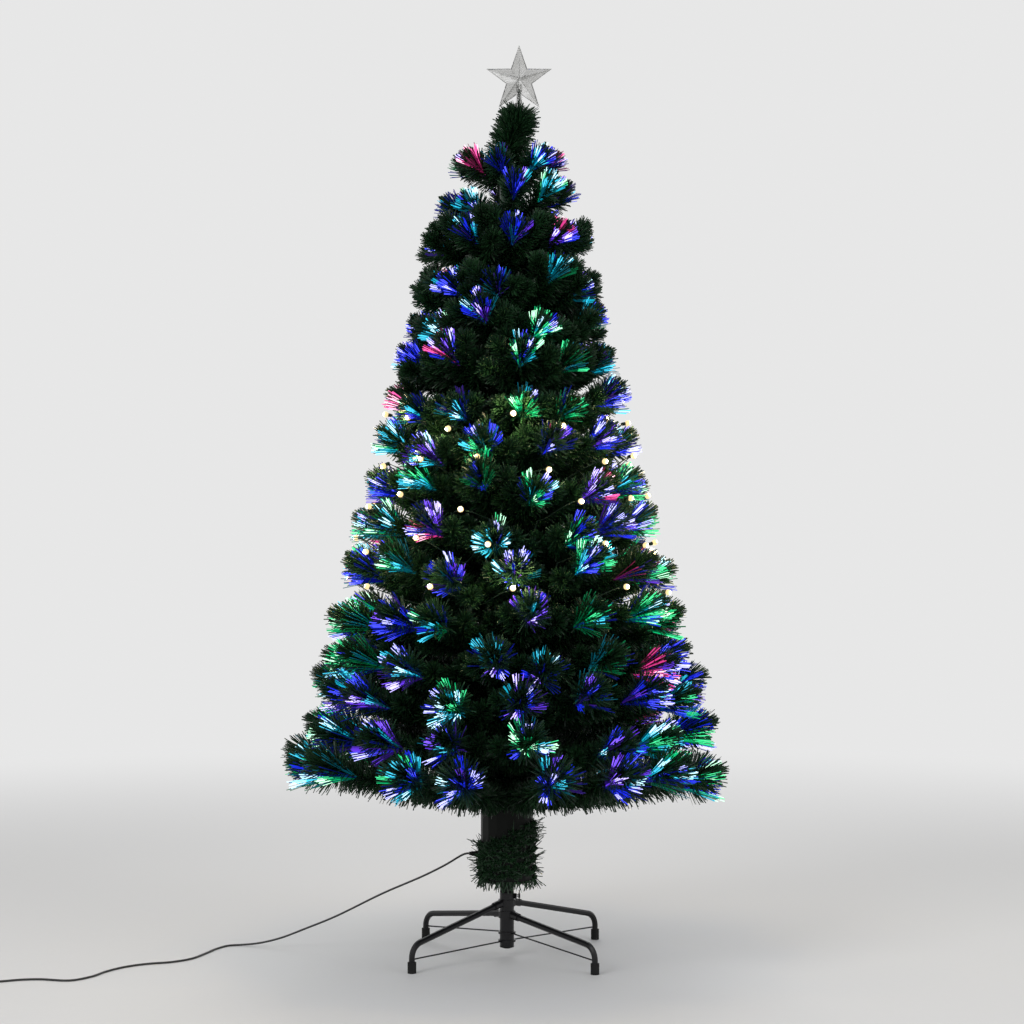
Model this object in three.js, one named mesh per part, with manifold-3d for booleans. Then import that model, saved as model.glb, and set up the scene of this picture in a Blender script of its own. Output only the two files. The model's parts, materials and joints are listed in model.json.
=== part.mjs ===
// A 1.8 m fibre optic Christmas tree on a folding four-legged stand, with its mains adapter.
// Millimetres, +Z up. The origin is on the floor under the trunk, and -Y faces the viewer.
//
// From the floor up: a steel stand holds a short post under a round lamp housing. In the
// housing a lamp shines up through a turning colour wheel into the end of a fibre bundle.
// The bundle climbs inside a trunk of three sections that plug into each other, and
// sixteen rings of bottle-brush branches carry its fibres out to their tips.
import * as THREE from "three";
import { mergeVertices } from "three/addons/utils/BufferGeometryUtils.js";
import Module from "manifold-3d";

// Clearances and cutting
const SEAT_GAP = 0.3; // between pieces that rest on or in each other
const RUN_GAP = 0.5; // round a turning shaft
const OVERRUN = 2; // how far a cutting tool runs past a face
const MERGE_DISTANCE = 0.001; // vertices nearer than this are one vertex

// Stand legs: two crossing pairs, each on its own collar round the tube
const LEG_RADIUS = 6;
const LEG_REACH = 255; // from the trunk's axis to a foot's axis
const KNEE_HEIGHT = 51; // where the sloping run and the upright foot would meet
const KNEE_RADIUS = 28;
const UPPER_COLLAR_HEIGHT = 105;
const COLLAR_SPACING = 23;
const LOWER_COLLAR_HEIGHT = UPPER_COLLAR_HEIGHT - COLLAR_SPACING;
const COLLAR_DEPTH = 13;
const COLLAR_WALL = 3;
const SOCKET_WALL = 1.5;
const SOCKET_REACH = 36; // from the trunk's axis to the socket's mouth
const UPPER_PAIR_AZIMUTH = 45; // degrees from +X
const LOWER_PAIR_AZIMUTH = 131;
const CAP_WALL = 2.2;
const CAP_FLOOR = 3;
const CAP_HEIGHT = 21;

// Stand tube and its end plug
const TUBE_RADIUS = 14;
const TUBE_WALL = 1.6;
const TUBE_BOTTOM = 20;
const TUBE_OVER_COLLAR = 20; // from the upper collar's middle to the tube's top
const TUBE_TOP = UPPER_COLLAR_HEIGHT + TUBE_OVER_COLLAR;
const PLUG_DOME = 5;
const PLUG_DEPTH = 9;

// Brace wires that tie the feet of a pair through a ring on the tube
const BRACE_RADIUS = 1.5;
const BRACE_FOOT_HEIGHT = 26;
const UPPER_BRACE_RING_HEIGHT = 30;
const LOWER_BRACE_RING_HEIGHT = 46;
const BRACE_RING_WALL = 3;
const BRACE_RING_DEPTH = 4;

// Clamp screw through the stand tube, which grips the post
const CLAMP_DEPTH = 6.5; // under the tube's top
const CLAMP_HEIGHT = TUBE_TOP - CLAMP_DEPTH;
const CLAMP_SCREW_RADIUS = 3;
const CLAMP_BOSS_RADIUS = 5.5;
const CLAMP_BOSS_LENGTH = 5;
const CLAMP_SHANK_END = 22; // from the trunk's axis
const CLAMP_WING_THICKNESS = 4;
const CLAMP_WING_SPAN = 11;
const CLAMP_HUB_RADIUS = 4.5;

// Post and the floor of the lamp housing
const POST_RADIUS = 10.5;
const POST_WALL = 1.2;
const HOUSING_RADIUS = 51.5;
const HOUSING_WALL = 2.2;
const POST_SHOWN = 23; // between the stand tube and the housing
const HOUSING_BOTTOM = TUBE_TOP + POST_SHOWN;
const HOUSING_HEIGHT = 149;
const HOUSING_TOP = HOUSING_BOTTOM + HOUSING_HEIGHT;
const FLOOR_THICKNESS = 4;
const POST_BOSS_RADIUS = 15;
const POST_BOSS_DEPTH = 12;
const FLOOR_RAIL_HEIGHT = 4;
const FLOOR_RAIL_WIDTH = 4;

// Lid of the housing, with the neck that holds the trunk
const LID_THICKNESS = 4.5;
const NECK_WALL = 3;
const NECK_OVER_LID = 8;
const NECK_UNDER_LID = 20;
const NECK_TOP = HOUSING_TOP + NECK_OVER_LID;
const NECK_BOTTOM = HOUSING_TOP - NECK_UNDER_LID;
const NECK_LIP = 3;

// Works inside the housing
const CHASSIS_OVER_FLOOR = 33;
const CHASSIS_THICKNESS = 3;
const LEDGE_DEPTH = 3;
const LEDGE_WIDTH = 4.5;
const LAMP_RADIUS = 13;
const LAMP_BASE_RADIUS = 5;
const LAMP_BASE_DEPTH = 9;
const LAMP_HEIGHT = 32;
const LAMP_BOWL_STEPS = 4;
const HOLDER_WALL = 1.8;
const HOLDER_HEIGHT = 12;
const WHEEL_OFFSET = 18.5; // from the trunk's axis to the wheel's shaft
const WHEEL_RADIUS = 29.5;
const WHEEL_THICKNESS = 2;
const WHEEL_OVER_LAMP = 5.7;
const WHEEL_HUB_RADIUS = 5.5;
const WHEEL_HUB_DEPTH = 7;
const WHEEL_RIM = 3;
const WHEEL_WINDOWS = 6;
const SPOKE_HALF_ANGLE = 5; // degrees
const SHAFT_RADIUS = 1.5;
const SHAFT_DEPTH_IN_MOTOR = 6;
const MOTOR_RADIUS = 18;
const MOTOR_DEPTH = 19;
const BOARD_LENGTH = 50;
const BOARD_WIDTH = 34;
const BOARD_THICKNESS = 1.6;
const FERRULE_OVER_WHEEL = 6;
const FERRULE_DEPTH = 9; // of its end, inside the neck
const FERRULE_WALL = 1.4;
const FERRULE_FLANGE = 4;
const FERRULE_FLANGE_DEPTH = 3;

// Trunk sections and the fibre bundle inside them
const TRUNK_RADIUS = 14;
const TRUNK_WALL = 1.5;
const SPIGOT_LENGTH = 60;
const SPIGOT_WALL = 1.3;
const BUNDLE_RADIUS = 9.8;
const BUNDLE_PROUD = 2; // how far it shows under the ferrule
const BUNDLE_JOINT_GAP = 1.2;
const BUNDLE_TOP_MARGIN = 40;
const TRUNK_CAP_DEPTH = 8;

// Branch rings, from the lowest to the highest
const TIER_COUNT = 16;
const LOWER_TIERS = 4;
const MIDDLE_TIERS = 6;
const FIRST_TIP_HEIGHT = 372;
const LAST_TIP_HEIGHT = 1594;
const FIRST_REACH = 437; // from the trunk's axis to a branch tip
const LAST_REACH = 114;
const FIRST_RING_CLEARANCE = 6.5; // over the housing's neck
const LAST_RING_DEPTH = 31; // from the trunk's top down to the highest ring's middle
const TIPS_OVER_TRUNK = 36; // how far the highest tips rise over the trunk's top
const TRUNK_TOP = LAST_TIP_HEIGHT - TIPS_OVER_TRUNK;
const FIRST_BRANCHES = 16;
const LAST_BRANCHES = 7;
const TURN_BETWEEN_TIERS = 47; // degrees
const COLLAR_RING_WALL = 4;
const COLLAR_RING_HEIGHT = 18;
const BRUSH_HALF_WIDTH = 24;
const BRUSH_HALF_HEIGHT = 25;
const SHOULDER_SHARE = 0.36;
const FIRST_BURST_LENGTH = 105;
const LAST_BURST_LENGTH = 58;
const BURST_HALF_WIDTH = 40;
const BURST_HALF_HEIGHT = 31;
const BURST_DOME = 14;
const BURST_NOTCH_SHARE = 0.62;
const BURST_NOTCH_DEPTH = 12;

// Fibre strands on the branch rings that carry them one by one
const STRAND_LENGTH = 58;
const STRAND_ROOT_HALF_WIDTH = 24;
const STRAND_SPREAD_SHARE = 0.55;
const NEEDLE_LENGTH = 34;
const NEEDLE_OUTWARD_SHARE = 0.8;

// Leader at the top, which leans a little to the right
const LEADER_STEM_RADIUS = 3;
const LEADER_PLUG = 6; // of the stem, in the trunk's cap
const LEADER_BARE_STEM = 16; // between the trunk and the brush
const LEADER_BRUSH_LENGTH = 96;
const LEADER_BEND_OVER_BRUSH = 4; // how far the lean goes on over the brush
const LEADER_SOCKET_STEM = 42; // of the stem over the brush
const LEADER_BOTTOM = TRUNK_TOP - LEADER_PLUG;
const LEADER_BEND = TRUNK_TOP + LEADER_BARE_STEM;
const LEADER_BRUSH_TOP = LEADER_BEND + LEADER_BRUSH_LENGTH;
const LEADER_STRAIGHT = LEADER_BRUSH_TOP + LEADER_BEND_OVER_BRUSH;
const LEADER_TOP = LEADER_BRUSH_TOP + LEADER_SOCKET_STEM;
const LEADER_LEAN = 24;
const LEADER_CORE_RADIUS = 10;
const LEADER_NEEDLE_LENGTH = 40;
const LEADER_TOP_NEEDLE_LENGTH = 26;
const LEADER_LOWEST_LIFT_SHARE = 0.3;
const LEADER_HIGHEST_LIFT_SHARE = 1.1;
const LEADER_BANDS = 6;
const LEADER_SIDES = 6;

// Star of two clear half shells on a socket
const STAR_OVER_LEADER = 20;
const STAR_HEIGHT = LEADER_TOP + STAR_OVER_LEADER; // the star's middle
const STAR_TIP_RADIUS = 68.5;
const STAR_NOTCH_RADIUS = 27;
const STAR_HALF_DEPTH = 19;
const STAR_WALL = 1.6;
const STAR_POINTS = 5;
const STAR_SOCKET_RADIUS = 6;
const STAR_SOCKET_WALL = 1.8;
const STAR_SOCKET_DEPTH = 48; // of its mouth, under the star's middle
const STAR_SOCKET_LENGTH = 38;
const STAR_SOCKET_BOTTOM = STAR_HEIGHT - STAR_SOCKET_DEPTH;
const STAR_SOCKET_TOP = STAR_SOCKET_BOTTOM + STAR_SOCKET_LENGTH;

// Needle garland round the housing
const WRAP_OVER_FLOOR = 3;
const WRAP_HEIGHT = 97;
const WRAP_BOTTOM = HOUSING_BOTTOM + WRAP_OVER_FLOOR;
const WRAP_TOP = WRAP_BOTTOM + WRAP_HEIGHT;
const WRAP_THICKNESS = 2.5;
const WRAP_SIDES = 20;
const WRAP_BANDS = 5;
const WRAP_NEEDLE_LENGTH = 27;
const WRAP_LOWEST_LIFT_SHARE = -0.9;
const WRAP_HIGHEST_LIFT_SHARE = 0.35;
const WRAP_WINDOW_RADIUS = 11;

// String of warm white lamps: one turn in each space between two of the middle rings
const STRING_WIRE_RADIUS = 1.2;
const STRING_LAMP_RADIUS = 3.2;
const STRING_LAMP_HALF_LENGTH = 6;
const STRING_DEPTH = 18; // of the lamps, inwards from the branch tips
const STRING_DIP = 32; // of the wire between two lamps, further inwards
const STRING_LAMPS_PER_TURN = 12;
const STRING_SIDES = 4;
const STRING_START_AZIMUTH = -58; // degrees from +X
const STRING_CLIMB_HALF_ANGLE = 4; // of the climb between two branches, in degrees
const STRING_LEAD_STATIONS = 5;

// Low-voltage cord, its coil and the adapter
const CORD_RADIUS = 2;
const CORD_SIDES = 8;
const CORD_STEPS = 50;
const CORD_EXIT_OVER_FLOOR = 54;
const CORD_EXIT_HEIGHT = HOUSING_BOTTOM + CORD_EXIT_OVER_FLOOR;
const GLAND_FLANGE_RADIUS = 8;
const GLAND_FLANGE_DEPTH = 2;
const GLAND_BODY_RADIUS = 6;
const GLAND_TAIL_RADIUS = 3.4;
const GLAND_TAIL_LENGTH = 21;
const GLAND_INSIDE = 7;
const COIL_MEAN_RADIUS = 24;
const COIL_PITCH = 4.6;
const COIL_LAYER_RISE = 4.6;
const COIL_TURNS = 6;
const COIL_CLIMB_TURNS = 0.5; // in which the cord climbs to the upper layer
const COIL_TAIL = 16; // straight cord between the coil and the adapter
const COIL_STEPS = 20;
const COIL_SIDES = 6;
const ADAPTER_LENGTH = 62;
const ADAPTER_WIDTH = 44;
const ADAPTER_HEIGHT = 30;
const ADAPTER_CORNER = 5;
const ADAPTER_CORNER_STEPS = 2;
const ADAPTER_EDGE = 1.5;
const ADAPTER_RELIEF_RADIUS = 3;
const ADAPTER_RELIEF_LENGTH = 20;
const BLADE_SPACING = 12.7;
const BLADE_WIDTH = 6.4;
const BLADE_THICKNESS = 1.5;
const BLADE_LENGTH = 17;
const CORD_ROUTE = [
  [-88, 1, 199],
  [-122, 9, 178],
  [-165, 20, 155],
  [-247, 40, 117],
  [-344, 60, 67],
  [-404, 72, 41],
  [-455, 84, 20],
  [-500, 95, 7.5],
  [-535, 102, 2.9],
  [-562, 96, 2.3],
  [-582, 62, 2.3],
  [-598, 10, 2.3],
  [-620, -47, 2.3],
  [-654, -80, 2.3],
  [-697, -98, 2.3],
  [-734, -128, 2.3],
  [-762, -172, 2.3],
  [-784, -227, 2.3],
  [-817, -261, 2.3],
  [-873, -249, 2.3],
  [-910, -254, 2.3],
  [-945, -270, 2.3],
];
const COIL_START = [-990, -276];
const COIL_LIE = 2.4; // height of the lowest turn's middle

// Facets
const ROUND_SIDES = 16;
const LEG_SIDES = 8;
const KNEE_STEPS = 8;
const WIRE_SIDES = 6;
const SMALL_SIDES = 12;

// Colours
const BLACK_STEEL = { color: 0x0d0d0f, roughness: 0.45, metalness: 0.6 };
const BLACK_PLASTIC = { color: 0x101312, roughness: 0.6, metalness: 0 };
const DARK_GREEN = { color: 0x0f3d1d, roughness: 0.8, metalness: 0 };
const FIBRE_GLOW = { color: 0x2f9fe8, roughness: 0.3, metalness: 0 };
const CLEAR = { color: 0xe6e8ea, roughness: 0.15, metalness: 0 };
const PALE_PLASTIC = { color: 0xd9d6cc, roughness: 0.5, metalness: 0 };
const BRIGHT_STEEL = { color: 0xb8babd, roughness: 0.3, metalness: 1 };
const RUBBER = { color: 0x131313, roughness: 0.9, metalness: 0 };
const WARM_LAMP = { color: 0xffdf9c, roughness: 0.3, metalness: 0 };
const BOARD_GREEN = { color: 0x1c6b3a, roughness: 0.5, metalness: 0 };

const wasm = await Module();
wasm.setup();

const radians = THREE.MathUtils.degToRad;
const mix = THREE.MathUtils.lerp;

// Solids and booleans

function toSolid(geometry) {
  const bare = new THREE.BufferGeometry();
  const loose = geometry.index ? geometry.toNonIndexed() : geometry;
  bare.setAttribute("position", loose.getAttribute("position"));
  const merged = mergeVertices(bare, MERGE_DISTANCE);
  return new wasm.Manifold(
    new wasm.Mesh({
      numProp: 3,
      vertProperties: merged.attributes.position.array,
      triVerts: new Uint32Array(merged.index.array),
    }),
  );
}

function toGeometry(solid) {
  const mesh = solid.getMesh();
  return new THREE.BufferGeometry()
    .setAttribute("position", new THREE.BufferAttribute(mesh.vertProperties, 3))
    .setIndex(new THREE.BufferAttribute(mesh.triVerts, 1));
}

const join = (first, ...others) =>
  toGeometry(others.reduce((solid, next) => solid.add(toSolid(next)), toSolid(first)));

const cut = (first, ...tools) =>
  toGeometry(tools.reduce((solid, tool) => solid.subtract(toSolid(tool)), toSolid(first)));

// A profile of [radius, height] points turned about Z: up the outside and down the inside.
function revolve(profile, sides = ROUND_SIDES) {
  const points = profile.map(([radius, height]) => new THREE.Vector2(radius, height));
  return new THREE.LatheGeometry(points, sides).rotateX(Math.PI / 2);
}

function cylinder(radius, bottom, top, sides = ROUND_SIDES) {
  return revolve([[0, bottom], [radius, bottom], [radius, top], [0, top]], sides);
}

function tube(inner, outer, bottom, top, sides = ROUND_SIDES) {
  const profile = [[inner, bottom], [outer, bottom], [outer, top], [inner, top], [inner, bottom]];
  return revolve(profile, sides);
}

// A round rod along a curve.
function rod(path, radius, sides, steps) {
  const section = new THREE.Shape();
  for (let i = 0; i < sides; i++) {
    const angle = (2 * Math.PI * (i + 0.5)) / sides;
    const corner = [radius * Math.cos(angle), radius * Math.sin(angle)];
    if (i === 0) section.moveTo(...corner);
    else section.lineTo(...corner);
  }
  return new THREE.ExtrudeGeometry(section, { extrudePath: path, steps, bevelEnabled: false });
}

const straightRod = (from, to, radius, sides) =>
  rod(new THREE.LineCurve3(from, to), radius, sides, 1);

function named(name, geometry, finish) {
  const mesh = new THREE.Mesh(geometry, new THREE.MeshStandardMaterial(finish));
  mesh.name = name;
  return mesh;
}

function group(...children) {
  const made = new THREE.Group();
  made.add(...children);
  return made;
}

// Collects facets that face outwards, as triangles of shared points.
class Facets {
  constructor() {
    this.points = [];
    this.triangles = [];
  }
  add(point) {
    return this.points.push(point) - 1;
  }
  ring(points) {
    return points.map((point) => this.add(point));
  }
  triangle(a, b, c) {
    this.triangles.push(a, b, c);
  }
  quad(a, b, c, d) {
    this.triangle(a, b, c);
    this.triangle(a, c, d);
  }
  // A three-sided strand that grows out of the facet a, b, c and ends at the point tip.
  strand(a, b, c, tip) {
    const end = this.add(tip);
    this.triangle(a, b, end);
    this.triangle(b, c, end);
    this.triangle(c, a, end);
  }
  middle(...indices) {
    const sum = new THREE.Vector3();
    for (const index of indices) sum.add(this.points[index]);
    return sum.divideScalar(indices.length);
  }
  normal(a, b, c) {
    const [p, q, r] = [a, b, c].map((index) => this.points[index]);
    return q.clone().sub(p).cross(r.clone().sub(p)).normalize();
  }
  // Side facets between two rings of as many points, and the ring that closes an end.
  band(lower, upper) {
    lower.forEach((a, i) => {
      const next = (i + 1) % lower.length;
      this.quad(a, lower[next], upper[next], upper[i]);
    });
  }
  close(ring, tip) {
    const end = this.add(tip);
    ring.forEach((a, i) => this.triangle(a, ring[(i + 1) % ring.length], end));
  }
  geometry() {
    const positions = new Float32Array(this.points.flatMap((point) => point.toArray()));
    return new THREE.BufferGeometry()
      .setAttribute("position", new THREE.BufferAttribute(positions, 3))
      .setIndex(this.triangles);
  }
}

// A tube through stations, each with its own radius. It lies nearly level, or its bends are
// all square to the side that is given.
function windTube(stations, radii, sides, fixedSide) {
  const facets = new Facets();
  const up = new THREE.Vector3(0, 0, 1);
  const last = stations.length - 1;
  const rings = stations.map((station, i) => {
    const ahead = stations[Math.min(i + 1, last)].clone();
    const along = ahead.sub(stations[Math.max(i - 1, 0)]).normalize();
    const side = fixedSide ?? along.clone().cross(up).normalize();
    const rise = side.clone().cross(along);
    const points = [];
    for (let k = 0; k < sides; k++) {
      const angle = (2 * Math.PI * (k + 0.5)) / sides;
      const across = side.clone().multiplyScalar(radii[i] * Math.cos(angle));
      const above = rise.clone().multiplyScalar(radii[i] * Math.sin(angle));
      points.push(station.clone().add(across).sub(above));
    }
    return facets.ring(points);
  });
  for (let i = 0; i < last; i++) facets.band(rings[i], rings[i + 1]);
  facets.close([...rings[0]].reverse(), stations[0].clone());
  facets.close(rings[last], stations[last].clone());
  return facets.geometry();
}

// The least air between turns of a wound tube, measured between stations at least half a
// turn apart.
function leastGap(stations, radius, halfTurn) {
  let least = Infinity;
  for (let i = 0; i < stations.length; i++)
    for (let k = i + halfTurn; k < stations.length; k++)
      least = Math.min(least, stations[i].distanceTo(stations[k]));
  return least - 2 * radius;
}

// Stand

function standTube() {
  const inner = TUBE_RADIUS - TUBE_WALL;
  const body = tube(inner, TUBE_RADIUS, TUBE_BOTTOM, TUBE_TOP);
  const bossEnd = TUBE_RADIUS + CLAMP_BOSS_LENGTH;
  const boss = cylinder(CLAMP_BOSS_RADIUS, inner + TUBE_WALL / 2, bossEnd, WIRE_SIDES);
  const hole = cylinder(CLAMP_SCREW_RADIUS + SEAT_GAP, 0, bossEnd + OVERRUN, SMALL_SIDES);
  for (const piece of [boss, hole]) piece.rotateY(Math.PI / 2).translate(0, 0, CLAMP_HEIGHT);
  return cut(join(body, boss), hole);
}

function tubePlug() {
  const shank = TUBE_RADIUS - TUBE_WALL - SEAT_GAP;
  const rim = TUBE_BOTTOM - SEAT_GAP;
  return revolve([
    [0, TUBE_BOTTOM - PLUG_DOME],
    [TUBE_RADIUS / 2, TUBE_BOTTOM - PLUG_DOME],
    [TUBE_RADIUS, TUBE_BOTTOM - PLUG_DOME / 2],
    [TUBE_RADIUS, rim],
    [shank, rim],
    [shank, TUBE_BOTTOM + PLUG_DEPTH],
    [0, TUBE_BOTTOM + PLUG_DEPTH],
  ]);
}

// The line of one leg in its own upright plane, with +X outwards.
function legLine(collarHeight) {
  const start = new THREE.Vector2(TUBE_RADIUS + COLLAR_WALL, collarHeight);
  const knee = new THREE.Vector2(LEG_REACH, KNEE_HEIGHT);
  const slope = knee.clone().sub(start).normalize();
  const bendAngle = Math.PI / 2 - Math.atan2(-slope.y, slope.x);
  const setback = KNEE_RADIUS * Math.tan(bendAngle / 2);
  return { start, knee, slope, bendAngle, setback };
}

function legTube(collarHeight) {
  const { start, knee, slope, bendAngle, setback } = legLine(collarHeight);
  const point = (flat) => new THREE.Vector3(flat.x, 0, flat.y);
  const inside = start.clone().addScaledVector(slope, SEAT_GAP);
  const bendEnd = new THREE.Vector2(knee.x, knee.y - setback);
  const foot = new THREE.Vector2(knee.x, CAP_FLOOR + SEAT_GAP);
  const stations = [point(inside)];
  for (let i = 0; i <= KNEE_STEPS; i++) {
    const angle = mix(bendAngle, 0, i / KNEE_STEPS);
    const bend = new THREE.Vector2(Math.cos(angle) - 1, Math.sin(angle));
    stations.push(point(bendEnd.clone().addScaledVector(bend, KNEE_RADIUS)));
  }
  stations.push(point(foot));
  const radii = stations.map(() => LEG_RADIUS);
  return windTube(stations, radii, LEG_SIDES, new THREE.Vector3(0, -1, 0));
}

// A ring round the stand tube with a sloping socket for a leg at each side.
function legCollar(collarHeight) {
  const inner = TUBE_RADIUS + SEAT_GAP;
  const outer = TUBE_RADIUS + COLLAR_WALL;
  const half = COLLAR_DEPTH / 2;
  const { start, slope } = legLine(collarHeight);
  const reach = (SOCKET_REACH - start.x) / slope.x;
  const sockets = [];
  const bores = [];
  for (const side of [1, -1]) {
    const along = (distance) =>
      new THREE.Vector3(side * (start.x + slope.x * distance), 0, start.y + slope.y * distance);
    const root = along(-COLLAR_WALL / 2);
    const boreRadius = LEG_RADIUS + SEAT_GAP;
    sockets.push(straightRod(root, along(reach), boreRadius + SOCKET_WALL, LEG_SIDES));
    bores.push(straightRod(along(0), along(reach + OVERRUN), boreRadius, LEG_SIDES));
  }
  const ring = cylinder(outer, collarHeight - half, collarHeight + half);
  const hole = cylinder(inner, collarHeight - COLLAR_DEPTH * 2, collarHeight + COLLAR_DEPTH * 2);
  return cut(join(ring, ...sockets), hole, ...bores);
}

function footCap() {
  const inner = LEG_RADIUS + SEAT_GAP;
  const outer = inner + CAP_WALL;
  return revolve(
    [[0, 0], [outer, 0], [outer, CAP_HEIGHT], [inner, CAP_HEIGHT], [inner, CAP_FLOOR], [0, CAP_FLOOR]],
    SMALL_SIDES,
  );
}

// A wire from foot to foot, with a ring in its middle that goes round the stand tube.
function brace(ringHeight) {
  const inner = TUBE_RADIUS + SEAT_GAP;
  const outer = inner + BRACE_RING_WALL;
  const half = BRACE_RING_DEPTH / 2;
  const ring = tube(inner, outer, ringHeight - half, ringHeight + half);
  const end = LEG_REACH - LEG_RADIUS - SEAT_GAP;
  const wires = [1, -1].map((side) =>
    straightRod(
      new THREE.Vector3(side * (outer - BRACE_RADIUS), 0, ringHeight),
      new THREE.Vector3(side * end, 0, BRACE_FOOT_HEIGHT),
      BRACE_RADIUS,
      WIRE_SIDES,
    ),
  );
  return join(ring, ...wires);
}

// Two legs, their feet, collar and brace, as one pair that turns about the tube.
function legPair(prefix, collarHeight, ringHeight, azimuth) {
  const pair = group(
    named(`${prefix}_leg_collar`, legCollar(collarHeight), BLACK_STEEL),
    named(`${prefix}_brace`, brace(ringHeight), BLACK_STEEL),
  );
  ["a", "b"].forEach((letter, i) => {
    const leg = group(
      named(`${prefix}_leg_${letter}`, legTube(collarHeight), BLACK_STEEL),
      named(`${prefix}_foot_cap_${letter}`, footCap().translate(LEG_REACH, 0, 0), RUBBER),
    );
    leg.rotation.z = i * Math.PI;
    pair.add(leg);
  });
  pair.rotation.z = radians(azimuth);
  return pair;
}

function clampScrew() {
  const tip = POST_RADIUS + SEAT_GAP;
  const shank = cylinder(CLAMP_SCREW_RADIUS, tip, CLAMP_SHANK_END, SMALL_SIDES);
  return shank.rotateY(Math.PI / 2).translate(0, 0, CLAMP_HEIGHT);
}

// A thumb wing: a round hub with two flat ears.
function clampWing() {
  const start = CLAMP_SHANK_END + SEAT_GAP;
  const hub = cylinder(CLAMP_HUB_RADIUS, start, start + CLAMP_WING_THICKNESS, SMALL_SIDES);
  const outline = new THREE.Shape();
  outline.moveTo(-CLAMP_WING_SPAN, -CLAMP_HUB_RADIUS / 3);
  outline.quadraticCurveTo(0, -CLAMP_HUB_RADIUS, CLAMP_WING_SPAN, -CLAMP_HUB_RADIUS / 3);
  outline.lineTo(CLAMP_WING_SPAN, CLAMP_HUB_RADIUS);
  outline.quadraticCurveTo(0, 0, -CLAMP_WING_SPAN, CLAMP_HUB_RADIUS);
  const ears = new THREE.ExtrudeGeometry(outline, {
    depth: CLAMP_WING_THICKNESS / 2,
    bevelEnabled: false,
    curveSegments: 5,
  });
  ears.translate(0, 0, start + CLAMP_WING_THICKNESS / 4);
  return join(hub, ears).rotateY(Math.PI / 2).translate(0, 0, CLAMP_HEIGHT);
}

// Lamp housing

const houseInner = HOUSING_RADIUS - HOUSING_WALL;
const floorTop = HOUSING_BOTTOM + FLOOR_THICKNESS;
const lidBottom = HOUSING_TOP - LID_THICKNESS;
const ledgeTop = floorTop + CHASSIS_OVER_FLOOR;
const chassisBottom = ledgeTop + SEAT_GAP;
const chassisTop = chassisBottom + CHASSIS_THICKNESS;
const wheelBottom = chassisTop + LAMP_HEIGHT + WHEEL_OVER_LAMP;
const wheelTop = wheelBottom + WHEEL_THICKNESS;
const ferruleBottom = wheelTop + FERRULE_OVER_WHEEL;
const bundleHole = BUNDLE_RADIUS + SEAT_GAP;
const ferruleRadius = bundleHole + FERRULE_WALL;
const trunkInner = TRUNK_RADIUS - TRUNK_WALL;

function post() {
  const bottom = TUBE_BOTTOM + PLUG_DEPTH + SEAT_GAP;
  return tube(POST_RADIUS - POST_WALL, POST_RADIUS, bottom, HOUSING_BOTTOM - SEAT_GAP);
}

// The housing's floor, with the boss that takes the post and two rails for the board.
function housingFloor() {
  const bore = POST_RADIUS + SEAT_GAP;
  const bossBottom = HOUSING_BOTTOM - POST_BOSS_DEPTH;
  const plate = revolve([
    [0, HOUSING_BOTTOM],
    [bore, HOUSING_BOTTOM],
    [bore, bossBottom],
    [POST_BOSS_RADIUS, bossBottom],
    [POST_BOSS_RADIUS, HOUSING_BOTTOM],
    [HOUSING_RADIUS, HOUSING_BOTTOM],
    [HOUSING_RADIUS, floorTop],
    [0, floorTop],
  ]);
  const rails = [1, -1].map((side) =>
    new THREE.BoxGeometry(FLOOR_RAIL_WIDTH, BOARD_WIDTH, FLOOR_RAIL_HEIGHT * 2).translate(
      side * (BOARD_LENGTH / 2 - FLOOR_RAIL_WIDTH),
      0,
      floorTop,
    ),
  );
  const sink = cylinder(HOUSING_RADIUS + OVERRUN, HOUSING_BOTTOM - FLOOR_RAIL_HEIGHT, HOUSING_BOTTOM);
  return join(plate, ...rails.map((rail) => cut(rail, sink)));
}

function driverBoard() {
  const height = floorTop + FLOOR_RAIL_HEIGHT + SEAT_GAP + BOARD_THICKNESS / 2;
  return new THREE.BoxGeometry(BOARD_LENGTH, BOARD_WIDTH, BOARD_THICKNESS).translate(0, 0, height);
}

// The tall shell, with the ledge that carries the chassis and the cord's hole.
function housingShell() {
  const ledge = houseInner - LEDGE_WIDTH;
  const body = revolve([
    [houseInner, floorTop + SEAT_GAP],
    [HOUSING_RADIUS, floorTop + SEAT_GAP],
    [HOUSING_RADIUS, lidBottom - SEAT_GAP],
    [houseInner, lidBottom - SEAT_GAP],
    [houseInner, ledgeTop],
    [ledge, ledgeTop],
    [houseInner, ledgeTop - LEDGE_DEPTH - LEDGE_WIDTH],
    [houseInner, floorTop + SEAT_GAP],
  ]);
  const hole = cylinder(
    GLAND_BODY_RADIUS + SEAT_GAP,
    houseInner - OVERRUN,
    HOUSING_RADIUS + OVERRUN,
    SMALL_SIDES,
  );
  hole.rotateY(-Math.PI / 2).translate(0, 0, CORD_EXIT_HEIGHT);
  return cut(body, hole);
}

// The lid and its neck. The trunk stands in the neck on an inner lip.
function housingLid() {
  const bore = TRUNK_RADIUS + SEAT_GAP;
  const neck = bore + NECK_WALL;
  const lipHole = ferruleRadius + SEAT_GAP;
  return revolve([
    [lipHole, NECK_BOTTOM],
    [neck, NECK_BOTTOM],
    [neck, lidBottom],
    [HOUSING_RADIUS, lidBottom],
    [HOUSING_RADIUS, HOUSING_TOP],
    [neck, HOUSING_TOP],
    [neck, NECK_TOP],
    [bore, NECK_TOP],
    [bore, NECK_BOTTOM + NECK_LIP],
    [lipHole, NECK_BOTTOM + NECK_LIP],
    [lipHole, NECK_BOTTOM],
  ]);
}

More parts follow.
